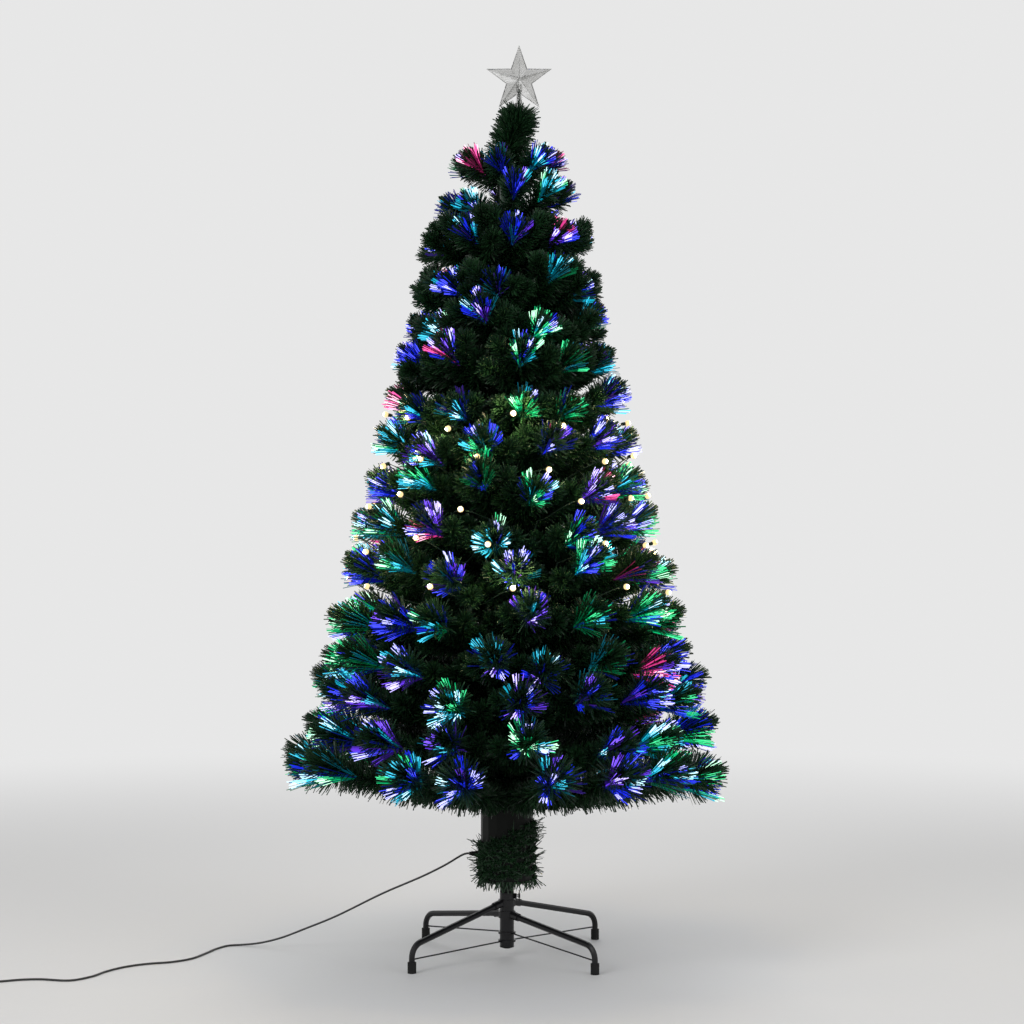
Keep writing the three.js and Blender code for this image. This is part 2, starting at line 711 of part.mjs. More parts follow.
// The chassis plate, with the lamp's holder and a hole for the wheel's shaft.
function chassis() {
  const radius = houseInner - SEAT_GAP;
  const bore = LAMP_BASE_RADIUS + SEAT_GAP;
  const cup = LAMP_BASE_RADIUS + SEAT_GAP + HOLDER_WALL;
  const plate = revolve([
    [bore, chassisBottom],
    [radius, chassisBottom],
    [radius, chassisTop],
    [cup, chassisTop],
    [cup, chassisTop + HOLDER_HEIGHT],
    [bore, chassisTop + HOLDER_HEIGHT],
    [bore, chassisBottom],
  ]);
  const shaftHole = cylinder(
    SHAFT_RADIUS + RUN_GAP,
    chassisBottom - OVERRUN,
    chassisTop + OVERRUN,
    SMALL_SIDES,
  );
  return cut(plate, shaftHole.translate(0, WHEEL_OFFSET, 0));
}

// A reflector lamp: its base sits in the holder and its bowl opens upwards.
function lamp() {
  const bowlBottom = chassisTop + HOLDER_HEIGHT + SEAT_GAP;
  const top = chassisTop + LAMP_HEIGHT;
  const profile = [
    [0, bowlBottom - LAMP_BASE_DEPTH],
    [LAMP_BASE_RADIUS, bowlBottom - LAMP_BASE_DEPTH],
    [LAMP_BASE_RADIUS, bowlBottom],
    [LAMP_BASE_RADIUS + HOLDER_WALL, bowlBottom],
  ];
  for (let i = 1; i <= LAMP_BOWL_STEPS; i++) {
    const share = i / LAMP_BOWL_STEPS;
    const start = LAMP_BASE_RADIUS + HOLDER_WALL;
    profile.push([mix(start, LAMP_RADIUS, Math.sqrt(share)), mix(bowlBottom, top, share)]);
  }
  profile.push([0, top]);
  return revolve(profile);
}

function motor() {
  const top = ledgeTop;
  const bore = SHAFT_RADIUS + RUN_GAP;
  const shaftEnd = top - SHAFT_DEPTH_IN_MOTOR - RUN_GAP;
  return revolve([
    [0, top - MOTOR_DEPTH],
    [MOTOR_RADIUS, top - MOTOR_DEPTH],
    [MOTOR_RADIUS, top],
    [bore, top],
    [bore, shaftEnd],
    [0, shaftEnd],
  ]).translate(0, WHEEL_OFFSET, 0);
}

// The colour wheel: a spoked disc with windows for the coloured films, on its own shaft.
function colourWheel() {
  const inner = WHEEL_HUB_RADIUS;
  const outer = WHEEL_RADIUS - WHEEL_RIM;
  const disc = new THREE.Shape().absarc(0, 0, WHEEL_RADIUS, 0, 2 * Math.PI);
  for (let i = 0; i < WHEEL_WINDOWS; i++) {
    const from = (2 * Math.PI * i) / WHEEL_WINDOWS + radians(SPOKE_HALF_ANGLE);
    const to = (2 * Math.PI * (i + 1)) / WHEEL_WINDOWS - radians(SPOKE_HALF_ANGLE);
    const middle = (from + to) / 2;
    const window = new THREE.Path();
    window.moveTo((inner + WHEEL_RIM) * Math.cos(middle), (inner + WHEEL_RIM) * Math.sin(middle));
    window.absarc(0, 0, outer, to, from, true);
    disc.holes.push(window);
  }
  const plate = new THREE.ExtrudeGeometry(disc, {
    depth: WHEEL_THICKNESS,
    bevelEnabled: false,
    curveSegments: 4,
  }).translate(0, 0, wheelBottom);
  const hub = cylinder(
    WHEEL_HUB_RADIUS,
    wheelTop - WHEEL_HUB_DEPTH,
    wheelTop + WHEEL_THICKNESS,
    SMALL_SIDES,
  );
  const shaft = cylinder(SHAFT_RADIUS, ledgeTop - SHAFT_DEPTH_IN_MOTOR, wheelBottom, SMALL_SIDES);
  return join(plate, hub, shaft).translate(0, WHEEL_OFFSET, 0);
}

// A sleeve round the end of the bundle, whose flange hangs under the neck's lip.
function ferrule() {
  const flangeTop = NECK_BOTTOM - SEAT_GAP;
  const flangeRadius = ferruleRadius + FERRULE_FLANGE;
  const top = NECK_TOP - FERRULE_DEPTH;
  return revolve([
    [bundleHole, ferruleBottom],
    [ferruleRadius, ferruleBottom],
    [ferruleRadius, flangeTop - FERRULE_FLANGE_DEPTH],
    [flangeRadius, flangeTop - FERRULE_FLANGE_DEPTH],
    [flangeRadius, flangeTop],
    [ferruleRadius, flangeTop],
    [ferruleRadius, top],
    [bundleHole, top],
    [bundleHole, ferruleBottom],
  ]);
}

// The cord's strain relief: a flange and a taper outside the shell, and a nut inside.
function cableGland() {
  const wallOuter = HOUSING_RADIUS + SEAT_GAP;
  const flatInner = houseInner * Math.cos(Math.PI / ROUND_SIDES);
  const wallInner = Math.sqrt(flatInner ** 2 - GLAND_FLANGE_RADIUS ** 2) - SEAT_GAP;
  const bore = CORD_RADIUS + SEAT_GAP;
  const tailStart = wallOuter + GLAND_FLANGE_DEPTH;
  return revolve(
    [
      [bore, wallInner - GLAND_INSIDE],
      [GLAND_FLANGE_RADIUS, wallInner - GLAND_INSIDE],
      [GLAND_FLANGE_RADIUS, wallInner],
      [GLAND_BODY_RADIUS, wallInner],
      [GLAND_BODY_RADIUS, wallOuter],
      [GLAND_FLANGE_RADIUS, wallOuter],
      [GLAND_FLANGE_RADIUS, tailStart],
      [GLAND_BODY_RADIUS, tailStart],
      [GLAND_TAIL_RADIUS, tailStart + GLAND_TAIL_LENGTH],
      [bore, tailStart + GLAND_TAIL_LENGTH],
      [bore, wallInner - GLAND_INSIDE],
    ],
    SMALL_SIDES,
  )
    .rotateY(-Math.PI / 2)
    .translate(0, 0, CORD_EXIT_HEIGHT);
}

// Needle garland wound round the housing, with a window for the gland.
function trunkWrap() {
  const facets = new Facets();
  const inner = (HOUSING_RADIUS + SEAT_GAP) / Math.cos(Math.PI / WRAP_SIDES);
  const outer = inner + WRAP_THICKNESS;
  const circle = (radius, height) => {
    const points = [];
    for (let i = 0; i < WRAP_SIDES; i++) {
      const angle = (2 * Math.PI * i) / WRAP_SIDES;
      points.push(new THREE.Vector3(radius * Math.cos(angle), radius * Math.sin(angle), height));
    }
    return facets.ring(points);
  };
  const rings = [];
  for (let band = 0; band <= WRAP_BANDS; band++)
    rings.push(circle(outer, mix(WRAP_BOTTOM, WRAP_TOP, band / WRAP_BANDS)));
  const innerBottom = circle(inner, WRAP_BOTTOM);
  const innerTop = circle(inner, WRAP_TOP);
  facets.band(innerBottom, rings[0]);
  facets.band(rings[WRAP_BANDS], innerTop);
  facets.band(innerTop, innerBottom);
  const window = new THREE.Vector3(-outer, 0, CORD_EXIT_HEIGHT);
  for (let band = 0; band < WRAP_BANDS; band++)
    for (let i = 0; i < WRAP_SIDES; i++) {
      const next = (i + 1) % WRAP_SIDES;
      const [a, b] = [rings[band][i], rings[band][next]];
      const [c, d] = [rings[band + 1][next], rings[band + 1][i]];
      const corners = (i + band) % 2 ? [[a, b, c], [a, c, d]] : [[b, c, d], [b, d, a]];
      const root = facets.middle(...corners[0]);
      const nearWindow = root.distanceTo(window) < WRAP_WINDOW_RADIUS + WRAP_NEEDLE_LENGTH / 2;
      if (nearWindow) facets.triangle(...corners[0]);
      else {
        const share = band / (WRAP_BANDS - 1);
        const lift = mix(WRAP_LOWEST_LIFT_SHARE, WRAP_HIGHEST_LIFT_SHARE, share);
        const out = new THREE.Vector3(root.x, root.y, 0).normalize();
        const aim = out.add(new THREE.Vector3(0, 0, lift)).normalize();
        facets.strand(...corners[0], root.addScaledVector(aim, WRAP_NEEDLE_LENGTH));
      }
      facets.triangle(...corners[1]);
    }
  const windowTool = cylinder(WRAP_WINDOW_RADIUS, inner - OVERRUN, outer + OVERRUN, SMALL_SIDES);
  windowTool.rotateY(-Math.PI / 2).translate(0, 0, CORD_EXIT_HEIGHT);
  return cut(facets.geometry(), windowTool);
}

// Trunk

// The lowest branches slope so that their ring clears the housing, and the highest so that
// theirs lies under the trunk's top.
const rootRadius = TRUNK_RADIUS + SEAT_GAP + COLLAR_RING_WALL;
const firstRingHeight = NECK_TOP + FIRST_RING_CLEARANCE + COLLAR_RING_HEIGHT / 2;
const lastRingHeight = TRUNK_TOP - LAST_RING_DEPTH;
const firstSlope = Math.atan2(FIRST_TIP_HEIGHT - firstRingHeight, FIRST_REACH - rootRadius);
const lastSlope = Math.atan2(LAST_TIP_HEIGHT - lastRingHeight, LAST_REACH - rootRadius);

// Heights, reach, slope and count of one ring of branches, 0 being the lowest.
function tierSizes(index) {
  const share = index / (TIER_COUNT - 1);
  const tipHeight = mix(FIRST_TIP_HEIGHT, LAST_TIP_HEIGHT, share);
  const reach = mix(FIRST_REACH, LAST_REACH, share);
  const slope = mix(firstSlope, lastSlope, share);
  const count = Math.round(mix(FIRST_BRANCHES, LAST_BRANCHES, share));
  const burst = mix(FIRST_BURST_LENGTH, LAST_BURST_LENGTH, share);
  const rootHeight = tipHeight - (reach - rootRadius) * Math.tan(slope);
  return { tipHeight, reach, slope, count, burst, rootHeight };
}

// The trunk parts midway between two rings.
const heightAbove = (rings) => (tierSizes(rings - 1).rootHeight + tierSizes(rings).rootHeight) / 2;
const lowerJoint = heightAbove(LOWER_TIERS);
const upperJoint = heightAbove(LOWER_TIERS + MIDDLE_TIERS);
const spigotRadius = trunkInner - SEAT_GAP;
const spigotHole = spigotRadius - SPIGOT_WALL;

const lowerTrunk = () =>
  tube(trunkInner, TRUNK_RADIUS, NECK_BOTTOM + NECK_LIP + SEAT_GAP, lowerJoint);

// A section whose swaged lower end plugs into the section below.
function pluggedTrunk(joint, top) {
  return revolve([
    [spigotHole, joint - SPIGOT_LENGTH],
    [spigotRadius, joint - SPIGOT_LENGTH],
    [spigotRadius, joint + SEAT_GAP],
    [TRUNK_RADIUS, joint + SEAT_GAP],
    [TRUNK_RADIUS, top],
    [trunkInner, top],
    [trunkInner, joint + SPIGOT_WALL * 2],
    [spigotHole, joint + SPIGOT_WALL],
    [spigotHole, joint - SPIGOT_LENGTH],
  ]);
}

// The top section ends in a cap with a hole for the leader's stem.
function topTrunk() {
  const hole = LEADER_STEM_RADIUS + SEAT_GAP;
  return revolve([
    [spigotHole, upperJoint - SPIGOT_LENGTH],
    [spigotRadius, upperJoint - SPIGOT_LENGTH],
    [spigotRadius, upperJoint + SEAT_GAP],
    [TRUNK_RADIUS, upperJoint + SEAT_GAP],
    [TRUNK_RADIUS, TRUNK_TOP],
    [hole, TRUNK_TOP],
    [hole, TRUNK_TOP - TRUNK_CAP_DEPTH],
    [trunkInner, TRUNK_TOP - TRUNK_CAP_DEPTH],
    [trunkInner, upperJoint + SPIGOT_WALL * 2],
    [spigotHole, upperJoint + SPIGOT_WALL],
    [spigotHole, upperJoint - SPIGOT_LENGTH],
  ]);
}

const bundle = (bottom, top) => cylinder(BUNDLE_RADIUS, bottom, top, SMALL_SIDES);

// Branch rings

// A ring of branches: each outer facet of a wire-bound collar grows into one branch.
function branchTier(index, withStrands) {
  const { reach, slope, count, burst, rootHeight } = tierSizes(index);
  const facets = new Facets();
  const start = radians(TURN_BETWEEN_TIERS * index);
  const inner = (TRUNK_RADIUS + SEAT_GAP) / Math.cos(Math.PI / count);
  const outer = rootRadius / Math.cos(Math.PI / count);
  const circle = (radius, height) => {
    const points = [];
    for (let i = 0; i < count; i++) {
      const angle = start + (2 * Math.PI * i) / count;
      points.push(new THREE.Vector3(radius * Math.cos(angle), radius * Math.sin(angle), height));
    }
    return facets.ring(points);
  };
  const half = COLLAR_RING_HEIGHT / 2;
  const innerBottom = circle(inner, rootHeight - half);
  const innerTop = circle(inner, rootHeight + half);
  const outerBottom = circle(outer, rootHeight - half);
  const outerTop = circle(outer, rootHeight + half);
  facets.band(innerBottom, outerBottom);
  facets.band(outerTop, innerTop);
  facets.band(innerTop, innerBottom);
  for (let i = 0; i < count; i++) {
    const next = (i + 1) % count;
    const azimuth = start + (2 * Math.PI * (i + 0.5)) / count;
    const root = [outerBottom[i], outerBottom[next], outerTop[next], outerTop[i]];
    const length = (reach - rootRadius) / Math.cos(slope);
    branch(facets, root, { azimuth, slope, length, burst, rootHeight, withStrands });
  }
  return facets.geometry();
}

// One branch: a stem that swells into a needle brush and opens into a burst of fibres.
function branch(facets, root, sizes) {
  const { azimuth, slope, length, burst, rootHeight, withStrands } = sizes;
  const out = new THREE.Vector3(Math.cos(azimuth), Math.sin(azimuth), 0);
  const along = out.clone().multiplyScalar(Math.cos(slope)).setZ(Math.sin(slope));
  const side = new THREE.Vector3(-Math.sin(azimuth), Math.cos(azimuth), 0);
  const up = along.clone().cross(side);
  const at = (distance, across, above) =>
    out
      .clone()
      .multiplyScalar(rootRadius)
      .setZ(rootHeight)
      .addScaledVector(along, distance)
      .addScaledVector(side, across)
      .addScaledVector(up, above);
  const square = (distance, width, height) =>
    facets.ring([
      at(distance, -width, -height),
      at(distance, width, -height),
      at(distance, width, height),
      at(distance, -width, height),
    ]);
  const shoulder = square(length * SHOULDER_SHARE, BRUSH_HALF_WIDTH, BRUSH_HALF_HEIGHT);
  const neck = square(length - burst, BRUSH_HALF_WIDTH, BRUSH_HALF_HEIGHT);
  facets.band(root, shoulder);
  facets.band(shoulder, neck);
  const crownAt = length - (withStrands ? STRAND_LENGTH : BURST_DOME);
  const width = withStrands ? STRAND_ROOT_HALF_WIDTH : BURST_HALF_WIDTH;
  const height = withStrands ? STRAND_ROOT_HALF_WIDTH : BURST_HALF_HEIGHT;
  const notchAt = crownAt - (withStrands ? 0 : BURST_NOTCH_DEPTH);
  const corners = [[-1, -1], [1, -1], [1, 1], [-1, 1]];
  const crown = [];
  corners.forEach(([x, z], i) => {
    const [nextX, nextZ] = corners[(i + 1) % corners.length];
    const [midX, midZ] = [(x + nextX) / 2, (z + nextZ) / 2];
    crown.push(facets.add(at(crownAt, x * width, z * height)));
    const share = withStrands ? 1 : BURST_NOTCH_SHARE;
    crown.push(facets.add(at(notchAt, midX * width * share, midZ * height * share)));
  });
  for (let i = 0; i < corners.length; i++) {
    const nextCorner = (i + 1) % corners.length;
    const [a, b] = [neck[i], neck[nextCorner]];
    const [c, m, d] = [crown[2 * i], crown[2 * i + 1], crown[(2 * i + 2) % crown.length]];
    const face = facets.normal(a, b, m);
    if (withStrands) {
      const aim = face.multiplyScalar(NEEDLE_OUTWARD_SHARE).add(along).normalize();
      facets.strand(a, b, m, facets.middle(a, b, m).addScaledVector(aim, NEEDLE_LENGTH));
    } else facets.triangle(a, b, m);
    facets.triangle(b, d, m);
    facets.triangle(a, m, c);
  }
  if (!withStrands) {
    facets.close(crown, at(length, 0, 0));
    return;
  }
  const centre = facets.add(at(crownAt, 0, 0));
  crown.forEach((a, i) => {
    const b = crown[(i + 1) % crown.length];
    const middle = facets.middle(a, b, centre);
    const spread = middle.clone().sub(at(crownAt, 0, 0)).multiplyScalar(1 / width);
    const tip = middle
      .addScaledVector(along, STRAND_LENGTH)
      .addScaledVector(spread, STRAND_LENGTH * STRAND_SPREAD_SHARE);
    facets.strand(a, b, centre, tip);
  });
}

// Leader: a bent stem with a brush of needles on its sloping part.
function leader() {
  const facets = new Facets();
  const lean = (height) =>
    LEADER_LEAN * THREE.MathUtils.smoothstep(height, LEADER_BEND, LEADER_STRAIGHT);
  const circle = (radius, height) => {
    const points = [];
    for (let i = 0; i < LEADER_SIDES; i++) {
      const angle = (2 * Math.PI * i) / LEADER_SIDES;
      const x = lean(height) + radius * Math.cos(angle);
      points.push(new THREE.Vector3(x, radius * Math.sin(angle), height));
    }
    return facets.ring(points);
  };
  const stemBottom = circle(LEADER_STEM_RADIUS, LEADER_BOTTOM);
  const brushBottom = circle(LEADER_STEM_RADIUS, LEADER_BEND);
  facets.close([...stemBottom].reverse(), new THREE.Vector3(0, 0, LEADER_BOTTOM));
  facets.band(stemBottom, brushBottom);
  let below = brushBottom;
  for (let band = 1; band <= LEADER_BANDS; band++) {
    const share = band / LEADER_BANDS;
    const above = circle(
      band === LEADER_BANDS ? LEADER_STEM_RADIUS : LEADER_CORE_RADIUS,
      mix(LEADER_BEND, LEADER_BRUSH_TOP, share),
    );
    for (let i = 0; i < LEADER_SIDES; i++) {
      const next = (i + 1) % LEADER_SIDES;
      const rise = mix(LEADER_LOWEST_LIFT_SHARE, LEADER_HIGHEST_LIFT_SHARE, share);
      const lift = new THREE.Vector3(0, 0, rise);
      const needle = mix(LEADER_NEEDLE_LENGTH, LEADER_TOP_NEEDLE_LENGTH, share);
      const lowerFacet = [below[i], below[next], above[next]];
      const upperFacet = [below[i], above[next], above[i]];
      for (const facet of [lowerFacet, upperFacet]) {
        const root = facets.middle(...facet);
        const middle = new THREE.Vector3(lean(root.z), 0, root.z);
        const aim = root.clone().sub(middle).normalize().add(lift).normalize();
        facets.strand(...facet, root.addScaledVector(aim, needle));
      }
    }
    below = above;
  }
  const stemTop = circle(LEADER_STEM_RADIUS, LEADER_TOP);
  facets.band(below, stemTop);
  facets.close(stemTop, new THREE.Vector3(LEADER_LEAN, 0, LEADER_TOP));
  return facets.geometry();
}

// Star

// The corners of the star's outline in its own middle plane, at a share of its size.
function starOutline(share) {
  const points = [];
  for (let i = 0; i < STAR_POINTS * 2; i++) {
    const angle = Math.PI / 2 + (Math.PI * i) / STAR_POINTS;
    const radius = share * (i % 2 ? STAR_NOTCH_RADIUS : STAR_TIP_RADIUS);
    points.push([radius * Math.cos(angle), radius * Math.sin(angle)]);
  }
  return points;
}

// One hollow half of the star, with a ridge to each point. Side -1 is the front.
function starShell(side) {
  const facets = new Facets();
  const plane = (side * SEAT_GAP) / 2;
  const [tip, notch] = starOutline(1).map(([x, z]) => new THREE.Vector3(x, 0, z));
  const apex = new THREE.Vector3(0, STAR_HALF_DEPTH, 0);
  const facetNormal = tip.clone().sub(apex).cross(notch.clone().sub(apex)).normalize();
  const innerShare = 1 - STAR_WALL / Math.abs(facetNormal.dot(apex));
  const ringAt = (share) =>
    facets.ring(starOutline(share).map(([x, z]) => new THREE.Vector3(-side * x, plane, z)));
  const outer = ringAt(1);
  const inner = ringAt(innerShare);
  facets.close(outer, new THREE.Vector3(0, plane + side * STAR_HALF_DEPTH, 0));
  const hollow = new THREE.Vector3(0, plane + side * STAR_HALF_DEPTH * innerShare, 0);
  facets.close([...inner].reverse(), hollow);
  facets.band(inner, outer);
  return facets.geometry();
}

const starSocketTube = (inner, outer, bottom, top) => {
  const height = bottom - STAR_HEIGHT;
  return tube(inner, outer, height, top - STAR_HEIGHT, SMALL_SIDES);
};

function starBack() {
  const stem = LEADER_STEM_RADIUS + SEAT_GAP;
  const below = STAR_SOCKET_BOTTOM - STAR_SOCKET_RADIUS - OVERRUN - STAR_HEIGHT;
  const bore = cylinder(stem, below, STAR_SOCKET_TOP - STAR_HEIGHT, SMALL_SIDES);
  const socket = starSocketTube(stem, STAR_SOCKET_RADIUS, STAR_SOCKET_BOTTOM, STAR_SOCKET_TOP);
  return cut(join(starShell(1), socket), bore);
}

function starFront() {
  const radius = STAR_SOCKET_RADIUS + SEAT_GAP;
  const bottom = STAR_SOCKET_BOTTOM - OVERRUN - STAR_HEIGHT;
  const notch = cylinder(radius, bottom, STAR_SOCKET_TOP + SEAT_GAP - STAR_HEIGHT, SMALL_SIDES);
  return cut(starShell(-1), notch);
}

// Lamp string

// The azimuth of the space between two branches of a ring that is nearest to the wanted one.
function spaceNear(index, wanted) {
  const step = (2 * Math.PI) / tierSizes(index).count;
  const start = radians(TURN_BETWEEN_TIERS * index);
  return start + Math.round((wanted - start) / step) * step;
}

// The string's distance from the trunk's axis and its height, midway between two rings.
function stringPlace(index, dip = 0) {
  const [lower, upper] = [tierSizes(index), tierSizes(index + 1)];
  const distance = (lower.reach + upper.reach) / 2 - STRING_DEPTH - dip;
  const heightOf = (tier) => tier.tipHeight - (tier.reach - distance) * Math.tan(tier.slope);
  return { distance, height: (heightOf(lower) + heightOf(upper)) / 2 };
}

// From the trunk outwards, then once round in each space between two rings. It climbs from
// one space to the next between two branches.
function lampString() {
  const stations = [];
  const radii = [];
  const place = (index, azimuth, radius, dip = 0) => {
    const { distance, height } = stringPlace(index, dip);
    const [x, y] = [distance * Math.cos(azimuth), distance * Math.sin(azimuth)];
    stations.push(new THREE.Vector3(x, y, height));
    radii.push(radius);
  };
  let azimuth = radians(STRING_START_AZIMUTH);
  const leadDistance = TRUNK_RADIUS + SEAT_GAP + STRING_WIRE_RADIUS / 2;
  const lead = new THREE.Vector3(leadDistance, 0, heightAbove(LOWER_TIERS + 1));
  const leadEnd = new THREE.Vector3(stringPlace(LOWER_TIERS).distance, 0, 0);
  leadEnd.z = stringPlace(LOWER_TIERS).height;
  for (let i = 0; i < STRING_LEAD_STATIONS; i++) {
    const station = lead.clone().lerp(leadEnd, i / STRING_LEAD_STATIONS);
    stations.push(station.applyAxisAngle(new THREE.Vector3(0, 0, 1), azimuth));
    radii.push(STRING_WIRE_RADIUS);
  }
  const climb = radians(STRING_CLIMB_HALF_ANGLE);
  for (let index = LOWER_TIERS; index < LOWER_TIERS + MIDDLE_TIERS - 1; index++) {
    const next = spaceNear(index + 1, azimuth + 2 * Math.PI);
    const from = index === LOWER_TIERS ? azimuth : azimuth + climb;
    const step = (next - climb - from) / STRING_LAMPS_PER_TURN;
    const half = STRING_LAMP_HALF_LENGTH / stringPlace(index).distance;
    place(index, from, STRING_WIRE_RADIUS);
    for (let i = 0; i < STRING_LAMPS_PER_TURN; i++) {
      const middle = from + step * (i + 0.5);
      place(index, middle - half, STRING_WIRE_RADIUS);
      place(index, middle, STRING_LAMP_RADIUS);
      place(index, middle + half, STRING_WIRE_RADIUS);
      if (i < STRING_LAMPS_PER_TURN - 1)
        place(index, middle + step / 2, STRING_WIRE_RADIUS, STRING_DIP);
    }
    if (index < LOWER_TIERS + MIDDLE_TIERS - 2) place(index, next - climb, STRING_WIRE_RADIUS);
    azimuth = next;
  }
  return windTube(stations, radii, STRING_SIDES);
}

// Cord

const glandEnd = HOUSING_RADIUS + SEAT_GAP + GLAND_FLANGE_DEPTH + GLAND_TAIL_LENGTH;

function powerCord() {
  const start = [-(glandEnd + SEAT_GAP), 0, CORD_EXIT_HEIGHT];
  const straight = [start[0] - 2 * CORD_RADIUS, 0, CORD_EXIT_HEIGHT];
  const end = [COIL_START[0] + SEAT_GAP, COIL_START[1], COIL_LIE];
  const beforeEnd = [end[0] + 2 * CORD_RADIUS, COIL_START[1], COIL_LIE];
  const points = [start, straight, ...CORD_ROUTE, beforeEnd, end];
  const curve = new THREE.CatmullRomCurve3(points.map((point) => new THREE.Vector3(...point)));
  console.log("free cord length:", curve.getLength().toFixed(1));
  return rod(curve, CORD_RADIUS, CORD_SIDES, CORD_STEPS);
}

// Where the middle of the coiled cord lies after a number of turns from its start.
function coilPoint(turns) {
  const half = COIL_TURNS / 2;
  const climb = THREE.MathUtils.clamp((turns - half) / COIL_CLIMB_TURNS + 0.5, 0, 1);
  const inwards = Math.abs(turns - half) - half / 2;
  const radius = COIL_MEAN_RADIUS + COIL_PITCH * inwards;
  const outermost = COIL_MEAN_RADIUS + (COIL_PITCH * half) / 2;
  const angle = Math.PI / 2 + 2 * Math.PI * turns;
  return new THREE.Vector3(
    COIL_START[0] + radius * Math.cos(angle),
    COIL_START[1] - outermost + radius * Math.sin(angle),
    COIL_LIE + COIL_LAYER_RISE * climb,
  );
}

function cordCoil() {
  const stations = [];
  for (let i = 0; i <= COIL_TURNS * COIL_STEPS; i++) stations.push(coilPoint(i / COIL_STEPS));
  const exit = stations.at(-1).clone().add(new THREE.Vector3(-COIL_TAIL, 0, 0));
  stations.push(exit);
  const radii = stations.map(() => CORD_RADIUS);
  const gap = leastGap(stations, CORD_RADIUS, COIL_STEPS / 2);
  let length = 0;
  for (let i = 1; i < stations.length; i++) length += stations[i].distanceTo(stations[i - 1]);
  console.log("coiled cord length:", length.toFixed(1), "least gap:", gap.toFixed(2));
  return windTube(stations, radii, COIL_SIDES);
}

// The adapter lies on its face beside the coil, with its blades up.
function adapter() {
  const reliefHeight = COIL_LIE + COIL_LAYER_RISE;
  const halfX = ADAPTER_LENGTH / 2 - ADAPTER_EDGE;
  const halfY = ADAPTER_WIDTH / 2 - ADAPTER_EDGE;
  const outline = new THREE.Shape();
  const quarter = Math.PI / 2;
  [[1, 1], [-1, 1], [-1, -1], [1, -1]].forEach(([x, y], i) => {
    const centreX = x * (halfX - ADAPTER_CORNER);
    const centreY = y * (halfY - ADAPTER_CORNER);
    outline.absarc(centreX, centreY, ADAPTER_CORNER, i * quarter, (i + 1) * quarter);
  });
  const body = new THREE.ExtrudeGeometry(outline, {
    depth: ADAPTER_HEIGHT - 2 * ADAPTER_EDGE,
    bevelThickness: ADAPTER_EDGE,
    bevelSize: ADAPTER_EDGE,
    bevelSegments: 1,
    curveSegments: ADAPTER_CORNER_STEPS,
  }).translate(0, 0, ADAPTER_EDGE);
  const face = ADAPTER_LENGTH / 2;
  const relief = revolve(
    [
      [0, face - ADAPTER_EDGE * 2],
      [ADAPTER_RELIEF_RADIUS + ADAPTER_EDGE, face - ADAPTER_EDGE * 2],
      [ADAPTER_RELIEF_RADIUS, face + ADAPTER_RELIEF_LENGTH],
      [0, face + ADAPTER_RELIEF_LENGTH],
    ],
    WIRE_SIDES * 2,
  )
    .rotateY(Math.PI / 2)
    .translate(0, 0, reliefHeight);
  return join(body, relief);
}

function blade(side) {
  const bottom = ADAPTER_HEIGHT + SEAT_GAP;
  return new THREE.BoxGeometry(BLADE_WIDTH, BLADE_THICKNESS, BLADE_LENGTH).translate(
    0,
    (side * BLADE_SPACING) / 2,
    bottom + BLADE_LENGTH / 2,
  );
}

// Assembly

const stand = group(
  named("stand_tube", standTube(), BLACK_STEEL),
  named("stand_tube_plug", tubePlug(), BLACK_PLASTIC),
  legPair("upper", UPPER_COLLAR_HEIGHT, UPPER_BRACE_RING_HEIGHT, UPPER_PAIR_AZIMUTH),
  legPair("lower", LOWER_COLLAR_HEIGHT, LOWER_BRACE_RING_HEIGHT, LOWER_PAIR_AZIMUTH),
  named("clamp_screw", clampScrew(), BRIGHT_STEEL),
  named("clamp_wing", clampWing(), BLACK_STEEL),
);

const housing = group(
  named("post", post(), BLACK_STEEL),
  named("housing_floor", housingFloor(), BLACK_PLASTIC),
  named("housing_shell", housingShell(), BLACK_PLASTIC),
  named("housing_lid", housingLid(), BLACK_PLASTIC),
  named("chassis", chassis(), PALE_PLASTIC),
  named("driver_board", driverBoard(), BOARD_GREEN),
  named("lamp", lamp(), CLEAR),
  named("wheel_motor", motor(), BRIGHT_STEEL),
  named("colour_wheel", colourWheel(), PALE_PLASTIC),
  named("ferrule", ferrule(), BRIGHT_STEEL),
  named("cable_gland", cableGland(), BLACK_PLASTIC),
  named("trunk_wrap", trunkWrap(), DARK_GREEN),
);

const trunk = group(
  named("trunk_lower", lowerTrunk(), BLACK_STEEL),
  named("trunk_middle", pluggedTrunk(lowerJoint, upperJoint), BLACK_STEEL),
  named("trunk_upper", topTrunk(), BLACK_STEEL),
);
const bundleEnds = [
  ferruleBottom - BUNDLE_PROUD,
  lowerJoint - SPIGOT_LENGTH,
  upperJoint - SPIGOT_LENGTH,
  TRUNK_TOP - BUNDLE_TOP_MARGIN,
];
["lower", "middle", "upper"].forEach((section, i) => {
  const solid = bundle(bundleEnds[i], bundleEnds[i + 1] - BUNDLE_JOINT_GAP);
  trunk.add(named(`fibre_bundle_${section}`, solid, FIBRE_GLOW));
});

const foliage = new THREE.Group();
for (let index = 0; index < TIER_COUNT; index++) {
  const withStrands = index === 0 || index === TIER_COUNT - 1;
  const name = `branch_tier_${String(index + 1).padStart(2, "0")}`;
  foliage.add(named(name, branchTier(index, withStrands), DARK_GREEN));
}
foliage.add(named("leader", leader(), DARK_GREEN));
foliage.add(named("lamp_string", lampString(), WARM_LAMP));

const star = group(
  named("star_front", starFront(), CLEAR),
  named("star_back", starBack(), CLEAR),
);
star.position.set(LEADER_LEAN, 0, STAR_HEIGHT);

